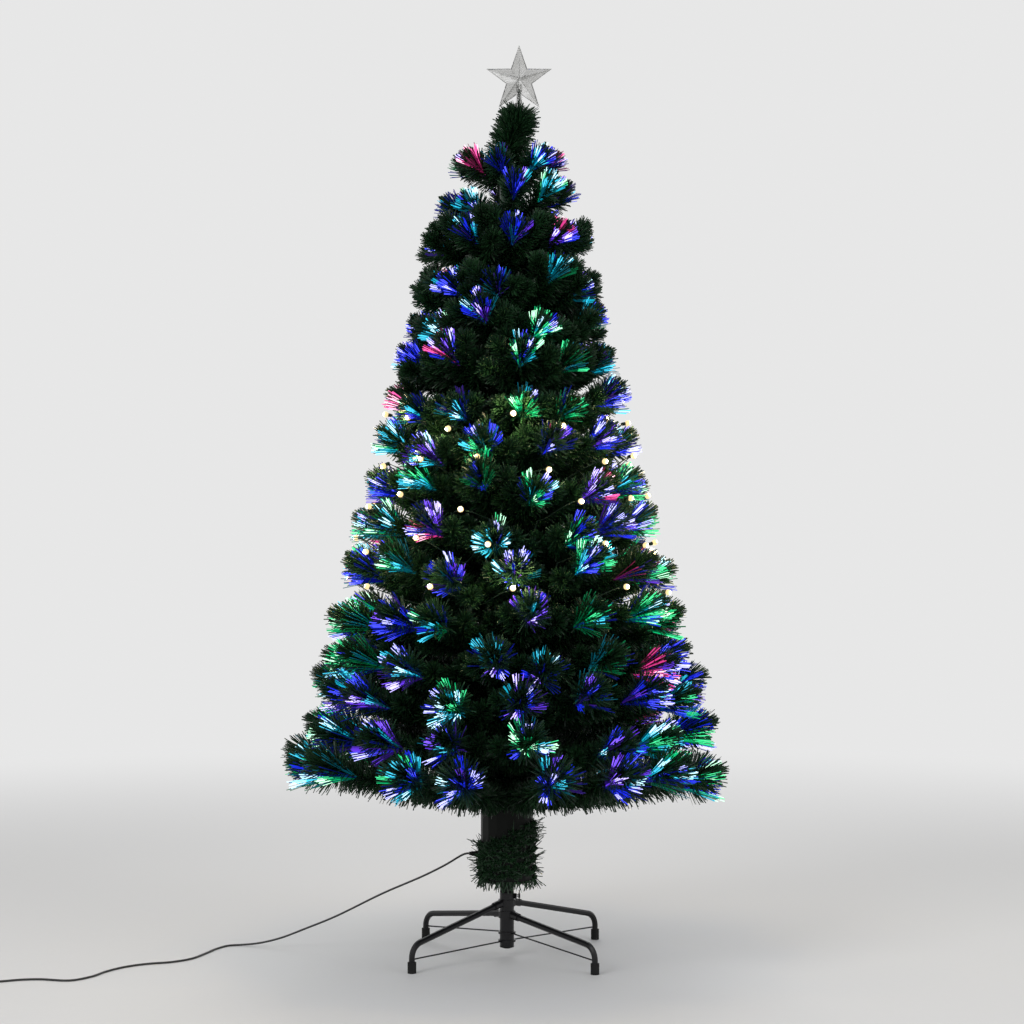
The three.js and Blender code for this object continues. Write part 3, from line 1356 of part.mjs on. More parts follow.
const supply = group(
  named("adapter", adapter(), BLACK_PLASTIC),
  named("plug_blade_a", blade(1), BRIGHT_STEEL),
  named("plug_blade_b", blade(-1), BRIGHT_STEEL),
);
const cordEnd = COIL_START[0] - COIL_TAIL - SEAT_GAP;
supply.position.set(cordEnd - ADAPTER_RELIEF_LENGTH - ADAPTER_LENGTH / 2, COIL_START[1], 0);

const tree = group(
  stand,
  housing,
  trunk,
  foliage,
  star,
  named("power_cord", powerCord(), BLACK_PLASTIC),
  named("cord_coil", cordCoil(), BLACK_PLASTIC),
  supply,
);

export default tree;
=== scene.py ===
"""Fibre optic christmas tree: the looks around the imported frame.

Metres, +Z up, the viewer at -Y. The needles, fibres, lamp string, cord, coil strap and sleeve
are built here. All else is the frame's own solids with their finishes.
"""

import json
import math
from collections import namedtuple

import bpy
import numpy as np
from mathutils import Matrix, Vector


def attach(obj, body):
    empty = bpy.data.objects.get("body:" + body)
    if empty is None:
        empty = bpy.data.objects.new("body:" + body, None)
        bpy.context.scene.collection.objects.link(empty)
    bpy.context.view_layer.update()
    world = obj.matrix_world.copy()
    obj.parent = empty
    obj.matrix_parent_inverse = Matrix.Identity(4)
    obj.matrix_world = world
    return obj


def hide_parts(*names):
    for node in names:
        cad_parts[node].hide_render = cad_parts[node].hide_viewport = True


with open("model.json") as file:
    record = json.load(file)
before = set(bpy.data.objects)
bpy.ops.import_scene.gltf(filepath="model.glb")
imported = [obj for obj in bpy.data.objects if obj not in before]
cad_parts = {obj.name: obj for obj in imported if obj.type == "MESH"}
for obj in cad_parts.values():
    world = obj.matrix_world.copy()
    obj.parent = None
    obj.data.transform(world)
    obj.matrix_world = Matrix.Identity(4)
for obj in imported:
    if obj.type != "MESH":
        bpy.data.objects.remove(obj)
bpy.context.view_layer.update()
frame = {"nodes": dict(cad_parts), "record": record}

MM = 0.001
TURN = 2 * math.pi
GOLDEN_SHARE = 0.381966
UP = np.array([0, 0, 1.0])
SHORTEST_VECTOR = 1e-9
NEARLY_UPRIGHT = 0.9  # rise of a unit vector from which the up direction is no help across it

# Camera: level, at the photograph's distance
CAMERA_PLACE = (0.010, -4.70, 0.877)
CAMERA_LENS = 83.57
CAMERA_SENSOR = 36.0  # millimetres wide

# Cord: the part's own route, in millimetres
CORD_RADIUS = 2.0 * MM
CORD_BEVEL_STEPS = 5
CORD_EXIT = (-75.1, 0.0, 202.0)
CORD_STRAIGHT = 4.0
CORD_ROUTE = [
    (-88, 1, 199), (-122, 9, 178), (-165, 20, 155), (-247, 40, 117),
    (-344, 60, 67), (-404, 72, 41), (-455, 84, 20), (-500, 95, 7.5),
    (-535, 102, 2.9), (-562, 96, 2.3), (-582, 62, 2.3), (-598, 10, 2.3),
    (-620, -47, 2.3), (-654, -80, 2.3), (-697, -98, 2.3), (-734, -128, 2.3),
    (-762, -172, 2.3), (-784, -227, 2.3), (-817, -261, 2.3), (-873, -249, 2.3),
    (-910, -254, 2.3), (-945, -270, 2.3),
]
COIL_START = (-990.0, -276.0)
COIL_APPROACH = (4.3, 0.3)  # of the route's last two points, ahead of the coil
COIL_LIE = 2.4
COIL_MEAN_RADIUS = 24.0
COIL_PITCH = 4.6
COIL_RISE = 4.6
COIL_CLIMB_TURNS = 0.5  # over which the second layer rises onto the first
COIL_TURNS = 6
COIL_STEPS = 24
COIL_TAIL = 16.0
ROUTE_STEPS = 8

# Strap round the coil
TIE_WIDTH, TIE_THICKNESS = 6.0, 0.9
TIE_CLEARANCE = 2.6  # of its inside from the axes of the outermost turns
TIE_LOWEST_INSIDE, TIE_LOWEST_OUTSIDE = 0.2, 0.05
TIE_STEPS = 32
TIE_SQUARENESS = 1.35

# Branch rings, from the lowest to the highest, in millimetres and degrees
TIER_COUNT = 16
LOWER_TIERS = 4
MIDDLE_TIERS = 6
FIRST_TIP_HEIGHT, LAST_TIP_HEIGHT = 372.0, 1594.0
FIRST_REACH, LAST_REACH = 437.0, 114.0
FIRST_RING_HEIGHT, LAST_RING_HEIGHT = 320.5, 1527.0
FIRST_BRANCHES, LAST_BRANCHES = 16, 7
FIRST_BURST, LAST_BURST = 105.0, 58.0
TURN_BETWEEN_TIERS = 47.0
ROOT_RADIUS = 18.3
TRUNK_RADIUS = 14.0 * MM
FIRST_SLOPE = math.atan2(FIRST_TIP_HEIGHT - FIRST_RING_HEIGHT, FIRST_REACH - ROOT_RADIUS)
LAST_SLOPE = math.atan2(LAST_TIP_HEIGHT - LAST_RING_HEIGHT, LAST_REACH - ROOT_RADIUS)

# Needles, and brushes of them all round a stem. A brush's leans are the needles' angles forward
# from square to the stem, at its start and its end, in degrees
Needle = namedtuple("Needle", "length width length_shares shades")
Brush = namedtuple("Brush", "needles_per_mm needle_length leans")
NEEDLE_LENGTH = 33.0 * MM
NEEDLE_WIDTH = 3.1 * MM
NEEDLE_WIDTH_SHARES = (0.8, 1.15)
NEEDLE_TIP_SHARE = 0.7  # of its width at the root
# The inner needles' tones stop lower: painted shade inside and under the rings
NEEDLE_SHADES, INNER_SHADES_WITH_PAINTED_SHADE = (0.1, 1.0), (0.1, 0.8)


# Paths

def between(first, last, share):
    return first + (last - first) * share


def level(azimuth):
    """The level direction away from the trunk at an azimuth."""
    return np.array([math.cos(azimuth), math.sin(azimuth), 0.0])


def all_level(azimuths):
    """The level directions away from the trunk at many azimuths."""
    return np.stack([np.cos(azimuths), np.sin(azimuths), np.zeros(len(azimuths))], 1)


def between_times(first, last, start, end, time):
    return first * (end - time) / (end - start) + last * (time - start) / (end - start)


def smooth_path(points, steps):
    """A centripetal Catmull-Rom curve through the points."""
    p = [np.array(point, float) for point in points]
    p = [2 * p[0] - p[1]] + p + [2 * p[-1] - p[-2]]
    made = []
    for a, b, c, d in zip(p, p[1:], p[2:], p[3:]):
        t0 = 0.0
        t1 = t0 + math.sqrt(np.linalg.norm(b - a))
        t2 = t1 + math.sqrt(np.linalg.norm(c - b))
        t3 = t2 + math.sqrt(np.linalg.norm(d - c))
        for step in range(steps):
            t = between(t1, t2, step / steps)
            ab = between_times(a, b, t0, t1, t)
            bc = between_times(b, c, t1, t2, t)
            cd = between_times(c, d, t2, t3, t)
            abc = between_times(ab, bc, t0, t2, t)
            bcd = between_times(bc, cd, t1, t3, t)
            made.append(between_times(abc, bcd, t1, t2, t))
    made.append(p[-2])
    return made


def coil_point(turns):
    half = COIL_TURNS / 2
    climb_start = half - COIL_CLIMB_TURNS / 2
    climb = min(max(turns - climb_start, 0.0), COIL_CLIMB_TURNS) / COIL_CLIMB_TURNS
    radius = COIL_MEAN_RADIUS + COIL_PITCH * (abs(turns - half) - half / 2)
    outermost = COIL_MEAN_RADIUS + COIL_PITCH * half / 2
    angle = math.pi / 2 + TURN * turns
    return (
        COIL_START[0] + radius * math.cos(angle),
        COIL_START[1] - outermost + radius * math.sin(angle),
        COIL_LIE + COIL_RISE * climb,
    )


# Objects

def link_object(name, data):
    made = bpy.data.objects.new(name, data)
    bpy.context.scene.collection.objects.link(made)
    return made


def make_camera():
    data = bpy.data.cameras.new("camera")
    data.lens = CAMERA_LENS
    data.sensor_width = CAMERA_SENSOR
    camera = link_object("camera", data)
    camera.location = CAMERA_PLACE
    camera.rotation_euler = (math.pi / 2, 0, 0)
    bpy.context.scene.camera = camera


def curve_piece(name, points, radius, finish):
    data = bpy.data.curves.new(name, "CURVE")
    data.dimensions = "3D"
    data.bevel_depth = radius
    data.bevel_resolution = CORD_BEVEL_STEPS
    data.use_fill_caps = True
    spline = data.splines.new("POLY")
    spline.points.add(len(points) - 1)
    flat = [value for point in points for value in (*point, 1.0)]
    spline.points.foreach_set("co", flat)
    spline.use_smooth = True
    data.materials.append(finish)
    return link_object(name, data)


def link_mesh(name, vertices, faces, materials, indices=None, smooth=False):
    """A mesh of triangles or quads from whole arrays."""
    mesh = bpy.data.meshes.new(name)
    vertices = np.asarray(vertices, np.float32)
    faces = np.asarray(faces, np.int32)
    corners = faces.shape[1]
    mesh.vertices.add(len(vertices))
    mesh.vertices.foreach_set("co", vertices.ravel())
    mesh.loops.add(faces.size)
    mesh.loops.foreach_set("vertex_index", faces.ravel())
    mesh.polygons.add(len(faces))
    mesh.polygons.foreach_set("loop_start", np.arange(0, faces.size, corners, dtype=np.int32))
    for finish in materials:
        mesh.materials.append(finish)
    if indices is not None:
        mesh.polygons.foreach_set("material_index", np.asarray(indices, np.int32))
    mesh.polygons.foreach_set("use_smooth", np.full(len(faces), smooth))
    mesh.update(calc_edges=True)
    mesh.validate()
    return link_object(name, mesh)


def closed_piece(name, loops, finish):
    """Closed loops of points, each joined to the next one and the last to the first."""
    n = len(loops[0])
    faces = []
    for i in range(len(loops)):
        here, there = i * n, (i + 1) % len(loops) * n
        for k in range(n):
            m = (k + 1) % n
            faces.append((here + k, here + m, there + m, there + k))
    return link_mesh(name, np.concatenate(loops), faces, [finish], smooth=True)


def unit(vectors):
    lengths = np.linalg.norm(vectors, axis=-1, keepdims=True)
    return vectors / np.maximum(lengths, SHORTEST_VECTOR)


def across(directions, roll):
    """Two unit vectors square to each direction, turned about it by roll."""
    upright = np.abs(directions[:, 2:3]) > NEARLY_UPRIGHT
    helper = np.where(upright, [[1.0, 0, 0]], [[0, 0, 1.0]])
    first = unit(np.cross(directions, helper))
    second = np.cross(directions, first)
    c, s = np.cos(roll)[:, None], np.sin(roll)[:, None]
    return first * c + second * s, second * c - first * s


def needle_blades(roots, directions, lengths, widths, roll):
    """Closed slivers of four facets: one edge at the root, one across it at the tip."""
    side, other = across(directions, roll)
    half = widths[:, None] / 2
    ends = roots + directions * lengths[:, None]
    corners = [
        roots + side * half,
        roots - side * half,
        ends + other * half * NEEDLE_TIP_SHARE,
        ends - other * half * NEEDLE_TIP_SHARE,
    ]
    vertices = np.stack(corners, 1).reshape(-1, 3)
    facets = np.array([[0, 1, 2], [0, 3, 1], [0, 2, 3], [1, 3, 2]])
    faces = (np.arange(len(roots))[:, None, None] * 4 + facets).reshape(-1, 3)
    return vertices, faces


class Needles:
    """Gathers needles, then makes one piece of them."""

    def __init__(self):
        self.parts = []

    def add(self, roots, directions, kind, rng):
        n = len(roots)
        lengths = kind.length * rng.uniform(*kind.length_shares, n)
        widths = kind.width * rng.uniform(*NEEDLE_WIDTH_SHARES, n)
        shade = rng.uniform(*kind.shades, n)
        roll = rng.uniform(0, math.pi, n)
        vertices, faces = needle_blades(roots, unit(directions), lengths, widths, roll)
        self.parts.append((vertices, faces, np.repeat(shade, 4)))

    def piece(self, name, materials):
        vertices, faces, shades = zip(*self.parts)
        offsets = np.cumsum([0] + [len(part) for part in vertices[:-1]])
        faces = [part + offset for part, offset in zip(faces, offsets)]
        made = link_mesh(name, np.concatenate(vertices), np.concatenate(faces), materials)
        attribute = made.data.attributes.new("shade", "FLOAT", "POINT")
        attribute.data.foreach_set("value", np.concatenate(shades).astype(np.float32))
        return made


class Rods:
    """Gathers thin rods that follow paths, with a finish for each stretch."""

    def __init__(self, sides=3):
        self.sides = sides
        self.vertices, self.faces, self.indices = [], [], []
        self.count = 0

    def add(self, stations, radii, finishes=None):
        """A rod with one radius or one for each station, and the slot of each stretch."""
        stations = np.asarray(stations, float)
        n, sides = len(stations), self.sides
        finishes = finishes or [0] * (n - 1)
        heading = unit(np.gradient(stations, axis=0))
        mean = unit((stations[-1] - stations[0])[None, :])
        first, second = across(mean, np.zeros(1))
        first = unit(np.repeat(first, n, 0) - heading * (heading @ first[0])[:, None])
        second = np.cross(heading, first)
        angles = TURN * np.arange(sides) / sides
        ring = first[:, None, :] * np.cos(angles)[None, :, None]
        ring = ring + second[:, None, :] * np.sin(angles)[None, :, None]
        points = stations[:, None, :] + ring * np.broadcast_to(radii, n)[:, None, None]
        base = self.count
        for i in range(n - 1):
            for k in range(sides):
                a, b = base + i * sides + k, base + i * sides + (k + 1) % sides
                c, d = a + sides, b + sides
                self.faces += [(a, b, d), (a, d, c)]
                self.indices += [finishes[i]] * 2
        for k in range(1, sides - 1):
            last = base + (n - 1) * sides
            self.faces += [(base, base + k + 1, base + k), (last, last + k, last + k + 1)]
            self.indices += [finishes[0], finishes[-1]]
        self.vertices.append(points.reshape(-1, 3))
        self.count += n * sides

    def piece(self, name, materials):
        vertices = np.concatenate(self.vertices)
        return link_mesh(name, vertices, self.faces, materials, self.indices, smooth=True)


# Materials
NOISE_DETAIL = 4.0
MOTTLE_RANGE = (0.3, 0.7)  # of the noise, from the darker to the lighter colour
ROUGHNESS_SHARES = (0.85, 1.15)
BUMP_DISTANCE, STAR_BUMP_DISTANCE = 0.5 * MM, 0.8 * MM
NEEDLE_SHADE_RANGE = (0.05, 0.6)
GLOW_SURFACE_SHARE = 0.12  # of the light's colour, in the surface under it
# Painted shade on the star's facets: how far a facet faces along this way, over this range, takes it from
# the dark tint to the light one
STAR_PAINTED_SHADE_WAY = (-0.75, 0.0, 0.66)
STAR_PAINTED_SHADE_RANGE = (-0.38, -0.02)


def set_inputs(tree, node, inputs):
    """Gives a node's inputs their values, or the outputs that feed them."""
    for name, value in inputs.items():
        if isinstance(value, bpy.types.NodeSocket):
            tree.links.new(value, node.inputs[name])
        else:
            node.inputs[name].default_value = value


def add_node(tree, kind, inputs=None):
    made = tree.nodes.new("ShaderNode" + kind)
    set_inputs(tree, made, inputs or {})
    return made


def combined(tree, operation, first, second):
    """The result of a sum or the like of two outputs."""
    node = add_node(tree, "Math", {0: first, 1: second})
    node.operation = operation
    return node.outputs["Value"]


def shades_between(tree, factor, positions, dark, light):
    """From the dark to the light colour while the factor goes from one position to the other."""
    ramp = add_node(tree, "ValToRGB", {"Fac": factor})
    low, high = ramp.color_ramp.elements
    low.position, high.position = positions
    low.color, high.color = (*dark, 1), (*light, 1)
    return ramp.outputs["Color"]


def raised(tree, height, strength, distance):
    """The surface's direction where a height raises it."""
    node = add_node(tree, "Bump", {"Height": height, "Strength": strength, "Distance": distance})
    return node.outputs["Normal"]


def new_material(name):
    made = bpy.data.materials.new(name)
    made.use_nodes = True
    return made, made.node_tree, made.node_tree.nodes["Principled BSDF"]


def material(name, colour, roughness=0.5, metallic=0.0, spread=0.25, scale=60.0, bump=0.0,
             bump_scale=400.0, specular=0.5):
    """Noise varies the colour and roughness, and a finer noise raises the surface."""
    made, tree, shader = new_material(name)
    place = add_node(tree, "TexCoord").outputs["Object"]
    noise = add_node(tree, "TexNoise", {"Vector": place, "Scale": scale, "Detail": NOISE_DETAIL})
    noise = noise.outputs["Fac"]
    dark = [c * (1 - spread) for c in colour]
    light = [min(1.0, c * (1 + spread)) for c in colour]
    smoothest, roughest = [min(1.0, roughness * share) for share in ROUGHNESS_SHARES]
    rough = add_node(tree, "MapRange", {"Value": noise, "To Min": smoothest, "To Max": roughest})
    set_inputs(tree, shader, {
        "Base Color": shades_between(tree, noise, MOTTLE_RANGE, dark, light),
        "Roughness": rough.outputs["Result"],
        "Metallic": metallic,
        "Specular IOR Level": specular,
    })
    if bump:
        fine = add_node(tree, "TexNoise", {"Vector": place, "Scale": bump_scale}).outputs["Fac"]
        set_inputs(tree, shader, {"Normal": raised(tree, fine, bump, BUMP_DISTANCE)})
    return made


def needle_material(name, dark, light):
    """Each needle has its own shade between two greens, lower for the inner needles as painted shade,
    with broad patches over it.
    """
    made, tree, shader = new_material(name)
    shade = add_node(tree, "Attribute")
    shade.attribute_name = "shade"
    place = add_node(tree, "TexCoord").outputs["Object"]
    patches = add_node(tree, "TexNoise", {"Vector": place, "Scale": 18.0}).outputs["Fac"]
    total = combined(tree, "MULTIPLY", shade.outputs["Fac"], patches)
    set_inputs(tree, shader, {
        "Base Color": shades_between(tree, total, NEEDLE_SHADE_RANGE, dark, light),
        "Roughness": 0.42,
        "Specular IOR Level": 0.35,
    })
    return made


def glow_material(name, colour, strength, base=None):
    """A lit clear plastic: constant light, with a faint mottling of its own colour."""
    base = base or [c * GLOW_SURFACE_SHARE for c in colour]
    made = material(name, base, roughness=0.35, spread=0.3, scale=90.0, specular=0.1)
    shader = made.node_tree.nodes["Principled BSDF"]
    shader.inputs["Emission Color"].default_value = (*colour, 1)
    shader.inputs["Emission Strength"].default_value = strength
    made.cycles.emission_sampling = "NONE"
    return made


def clear_material(name, dark, light):
    """Clear moulded plastic with rippled facets, with painted shade: darker the more they face down to
    the right.
    """
    made = material(name, light, roughness=0.10, spread=0.12, scale=70.0)
    tree = made.node_tree
    shader = tree.nodes["Principled BSDF"]
    place = add_node(tree, "TexCoord")
    # Painted shade: a facet's tint follows which way it faces
    facing = add_node(tree, "VectorMath", {0: place.outputs["Normal"], 1: STAR_PAINTED_SHADE_WAY})
    facing.operation = "DOT_PRODUCT"
    shade = add_node(tree, "MapRange", {
        "Value": facing.outputs["Value"],
        "From Min": STAR_PAINTED_SHADE_RANGE[0],
        "From Max": STAR_PAINTED_SHADE_RANGE[1],
    })
    mottled = shader.inputs["Base Color"].links[0].from_socket
    mix = add_node(tree, "Mix")
    mix.data_type = "RGBA"
    set_inputs(tree, mix, {"Factor": shade.outputs["Result"], "A": (*dark, 1), "B": mottled})
    wave = add_node(tree, "TexWave", {
        "Vector": place.outputs["Object"],
        "Scale": 75.0,
        "Distortion": 2.0,
    })
    wave.wave_type = "RINGS"
    wave.rings_direction = "SPHERICAL"
    ripple = add_node(tree, "TexVoronoi", {"Vector": place.outputs["Object"], "Scale": 260.0})
    total = combined(tree, "ADD", wave.outputs["Fac"], ripple.outputs["Distance"])
    set_inputs(tree, shader, {
        "Base Color": mix.outputs["Result"],
        "Normal": raised(tree, total, 0.5, STAR_BUMP_DISTANCE),
        "Transmission Weight": 1.0,
        "IOR": 1.46,
    })
    return made


HUES = {
    "blue": (0.012, 0.03, 1.0),
    "cyan": (0.01, 0.55, 0.80),
    "green": (0.005, 0.70, 0.24),
    "pink": (0.92, 0.06, 0.34),
    "violet": (0.17, 0.05, 1.0),
}
# Strength of a fibre's light and its share of white, from a dim shaft to a bright tip
LEVELS = [("dim", 0.12, 0.0), ("lit", 0.85, 0.0), ("bright", 1.6, 0.05), ("tip", 2.2, 0.45)]

hue_materials = {
    hue: [
        glow_material(f"fibre_{hue}_{name}", [between(c, 1.0, white) for c in colour], strength)
        for name, strength, white in LEVELS
    ]
    for hue, colour in HUES.items()
}

needle_green = needle_material("needle_green", (0.003, 0.013, 0.005), (0.016, 0.062, 0.020))
stem_green = material("stem_green", (0.006, 0.026, 0.010), roughness=0.5, bump=0.3)
black_steel = material("black_steel", (0.005, 0.005, 0.006), roughness=0.34, bump=0.12, bump_scale=900.0,
                       specular=0.32)
black_plastic = material("black_plastic", (0.004, 0.005, 0.004), roughness=0.5, bump=0.2,
                         bump_scale=700.0, specular=0.12)
cap_rubber = material("cap_rubber", (0.006, 0.006, 0.006), roughness=0.7, bump=0.3, specular=0.25)
bright_steel = material("bright_steel", (0.62, 0.62, 0.64), roughness=0.32, metallic=1.0, spread=0.08)
trunk_green = material("trunk_green", (0.010, 0.045, 0.018), roughness=0.4, bump=0.15)
pale_plastic = material("pale_plastic", (0.72, 0.70, 0.64), roughness=0.45, spread=0.05, bump=0.1)
board_green = material("board_green", (0.03, 0.20, 0.08), roughness=0.4, spread=0.15)
cord_black = material("cord_black", (0.014, 0.014, 0.014), roughness=0.48, bump=0.2, bump_scale=500.0)
wire_green = material("wire_green", (0.004, 0.014, 0.007), roughness=0.55, specular=0.2)
lamp_glass = glow_material("lamp_glass", (1.0, 0.93, 0.80), 1.2, base=(0.9, 0.86, 0.78))
bundle_glow = glow_material("bundle_glow", (0.05, 0.10, 1.0), 0.6)
string_glow = glow_material("string_glow", (1.0, 0.74, 0.36), 1.0, base=(0.3, 0.24, 0.14))
string_tip_glow = glow_material("string_tip_glow", (1.0, 0.92, 0.74), 3.0, base=(0.5, 0.45, 0.3))
# Its darker colour is the painted shade of the facets that face down to the right
clear_star = clear_material("clear_star", (0.58, 0.58, 0.57), (0.97, 0.97, 0.96))

make_camera()

route = [CORD_EXIT, (CORD_EXIT[0] - CORD_STRAIGHT, CORD_EXIT[1], CORD_EXIT[2]), *CORD_ROUTE]
route += [(COIL_START[0] + ahead, COIL_START[1], COIL_LIE) for ahead in COIL_APPROACH]
cord_points = smooth_path(route, ROUTE_STEPS)
cord_points += [np.array(coil_point(i / COIL_STEPS)) for i in range(COIL_TURNS * COIL_STEPS + 1)]
cord_points.append(cord_points[-1] + np.array([-COIL_TAIL, 0, 0]))
cord_points = [point * MM for point in cord_points]
power_lead = curve_piece("power_lead", cord_points, CORD_RADIUS, cord_black)
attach(power_lead, "base_section")
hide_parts("power_cord", "cord_coil")


def make_coil_tie():
    """A flat strap round the coil's bundle, on the side away from the adapter."""
    bundle_half = COIL_PITCH * COIL_TURNS / 4
    centre_y = COIL_START[1] - COIL_MEAN_RADIUS - bundle_half
    low, high = TIE_LOWEST_INSIDE, COIL_LIE + COIL_RISE + TIE_CLEARANCE
    middle = np.array([COIL_START[0] + COIL_MEAN_RADIUS, (low + high) / 2])
    half_sizes = np.array([bundle_half + TIE_CLEARANCE, (high - low) / 2])
    angles = TURN * np.arange(TIE_STEPS) / TIE_STEPS
    round_loop = np.stack([np.cos(angles), np.sin(angles)], 1)
    inside = np.clip(TIE_SQUARENESS * round_loop, -1, 1) * half_sizes
    loops = []
    for side, grow in ((-1, 0), (1, 0), (1, TIE_THICKNESS), (-1, TIE_THICKNESS)):
        x, z = (middle + inside + unit(inside) * grow).T
        y = np.full(TIE_STEPS, centre_y + side * TIE_WIDTH / 2)
        loops.append(np.stack([x, y, np.maximum(z, TIE_LOWEST_OUTSIDE)], 1) * MM)
    tie = closed_piece("coil_tie", loops, cord_black)
    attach(tie, "base_section")
    return tie


coil_tie = make_coil_tie()


# Foliage
Tier = namedtuple("Tier", "reach slope tip_height root_height branches burst")


def tier_sizes(index):
    share = index / (TIER_COUNT - 1)
    reach = between(FIRST_REACH, LAST_REACH, share)
    slope = between(FIRST_SLOPE, LAST_SLOPE, share)
    tip_height = between(FIRST_TIP_HEIGHT, LAST_TIP_HEIGHT, share)
    return Tier(
        reach=reach,
        slope=slope,
        tip_height=tip_height,
        root_height=tip_height - (reach - ROOT_RADIUS) * math.tan(slope),
        branches=round(between(FIRST_BRANCHES, LAST_BRANCHES, share)),
        burst=between(FIRST_BURST, LAST_BURST, share),
    )


def section_of(index):
    if index < LOWER_TIERS:
        return "base_section"
    return "middle_section" if index < LOWER_TIERS + MIDDLE_TIERS else "top_section"


# How often each hue is a burst's main one, from the lowest ring to the highest
LOW_MIX_SHARES = {"green": 0.34, "cyan": 0.34, "blue": 0.24, "violet": 0.06, "pink": 0.02}
HIGH_MIX_SHARES = {"green": 0.09, "cyan": 0.16, "blue": 0.59, "violet": 0.10, "pink": 0.06}
NEIGHBOURS = {
    "green": ["green", "green", "cyan", "green", "blue"],
    "cyan": ["cyan", "green", "cyan", "cyan", "blue"],
    "blue": ["blue", "blue", "cyan", "violet", "blue"],
    "violet": ["violet", "blue", "pink", "violet", "blue"],
    "pink": ["pink", "pink", "violet", "pink", "blue"],
}
# Patches of one hue on the viewer's side: across, height and size in millimetres
HUE_PATCHES = [
    (80, 1285, 75, "green"),
    (95, 1150, 85, "green"),
    (120, 1430, 65, "pink"),
    (-80, 1590, 34, "pink"),
    (-30, 1400, 90, "blue"),
    (190, 1205, 60, "blue"),
    (-120, 1180, 60, "violet"),
    (0, 930, 70, "green"),
    (200, 900, 60, "violet"),
    (-190, 780, 60, "cyan"),
    (-120, 735, 26, "pink"),
    (-330, 650, 90, "green"),
    (190, 670, 80, "green"),
    (315, 665, 60, "green"),
    (45, 650, 80, "blue"),
    (315, 588, 28, "pink"),
    (-340, 510, 90, "blue"),
    (230, 500, 100, "blue"),
    (-400, 410, 80, "cyan"),
    (-264, 380, 60, "violet"),
    (400, 385, 90, "green"),
]


def choose_hue(tip, share, rng):
    x, y, z = tip / MM
    if y < 0:
        for across_x, height, size, hue in HUE_PATCHES:
            if math.hypot(x - across_x, z - height) < size:
                return hue
    names = list(LOW_MIX_SHARES)
    weights = np.array([between(LOW_MIX_SHARES[n], HIGH_MIX_SHARES[n], share) for n in names])
    return names[rng.choice(len(names), p=weights / weights.sum())]


def place_along(path, shares):
    """Points and directions at shares of a path's length."""
    path = np.asarray(path, float)
    steps = np.diff(path, axis=0)
    runs = np.linalg.norm(steps, axis=1)
    reached = np.concatenate([[0.0], np.cumsum(runs)])
    distance = shares * reached[-1]
    index = np.clip(np.searchsorted(reached, distance, side="right") - 1, 0, len(runs) - 1)
    local = (distance - reached[index]) / runs[index]
    return path[index] + steps[index] * local[:, None], unit(steps[index])


def path_length(path):
    return float(np.linalg.norm(np.diff(np.asarray(path, float), axis=0), axis=1).sum())


BRUSH_LENGTH_SHARES = (0.84, 1.06)
BRUSH_FEWEST = 6
BRUSH_ROOT_LIFT = 1.0 * MM
LEAN_SPREAD = 9.0
STEM_SAG_SHARE = 0.045
BENT_STATIONS, CUT_STATIONS = 7, 6


def clothe(needles, path, brush, rng):
    """Needles all round a stem."""
    n = max(BRUSH_FEWEST, int(path_length(path) / MM * brush.needles_per_mm))
    share = (np.arange(n) + rng.uniform(0, 1, n)) / n
    middle, axis = place_along(path, share)
    out, _ = across(axis, rng.uniform(0, TURN, n))
    lean = np.radians(between(*brush.leans, share) + rng.normal(0, LEAN_SPREAD, n))
    directions = out * np.cos(lean)[:, None] + axis * np.sin(lean)[:, None]
    kind = Needle(brush.needle_length, NEEDLE_WIDTH, BRUSH_LENGTH_SHARES, NEEDLE_SHADES)
    needles.add(middle + out * BRUSH_ROOT_LIFT, directions, kind, rng)


def bent(start, end):
    """A stem that dips in its middle and turns up towards its end."""
    run = end - start
    drop = np.array([0.0, 0.0, -STEM_SAG_SHARE * float(np.linalg.norm(run))])
    return [start + run * t + drop * math.sin(math.pi * t) for t in np.linspace(0, 1, BENT_STATIONS)]


def cut_path(path, first, last):
    points, _ = place_along(path, np.linspace(first, last, CUT_STATIONS))
    return list(points)


# Bursts of fibres. How each clump shines along its length, by its stretches, and how often
CLUMP_LIGHTS = [
    ((0, 0, 1), 0.15),
    ((0, 1, 1), 0.11),
    ((0, 0, 2), 0.17),
    ((0, 1, 2), 0.17),
    ((0, 1, 3), 0.19),
    ((1, 2, 3), 0.21),
]
CLUMPS_PER_BURST = (9, 14)
FIBRES_PER_CLUMP = (6, 13)
FIBRE_RADIUS = 0.55 * MM
FIBRES_PAST_TIP = 7.0 * MM
FIBRE_STATION_SHARES = (0.0, 0.45, 0.74, 1.0)
FIBRE_SWELL_SHARES = (0.6, 0.85, 1.0, 1.4)
FIBRE_LENGTH_SHARES = (0.84, 1.0)
# Needles beside each bright clump are rods in the clump's dim glow: painted light from the clump
LIT_NEEDLES = 3  # beside each bright clump
LIT_NEEDLE_RADIUS = 0.9 * MM
UNLIT_SHARES = (0.2, 0.42, 0.65)  # of a burst's clumps, which stay dim
UNLIT_LOOSENESS = 1.8  # times as wide as a lit clump
CLUMP_TURN_SHARE = 0.12  # of a turn, by which a clump stands off its place round the burst
CLUMP_WIDTH_SHARE, CLUMP_DEPTH_SHARE = 0.13, 0.07  # of the burst's spread
NARROWEST_SHARE = 0.2  # of the burst's spread, inside which clumps grow no wider
DIMMED_FROM = 1.1  # a fibre this many times the clump's width off its middle is dimmer
DOME_SHARE, DROOP_SHARE = 0.15, 0.04  # of a fibre's length, at the burst's edge
FLARE_POWER = 1.2


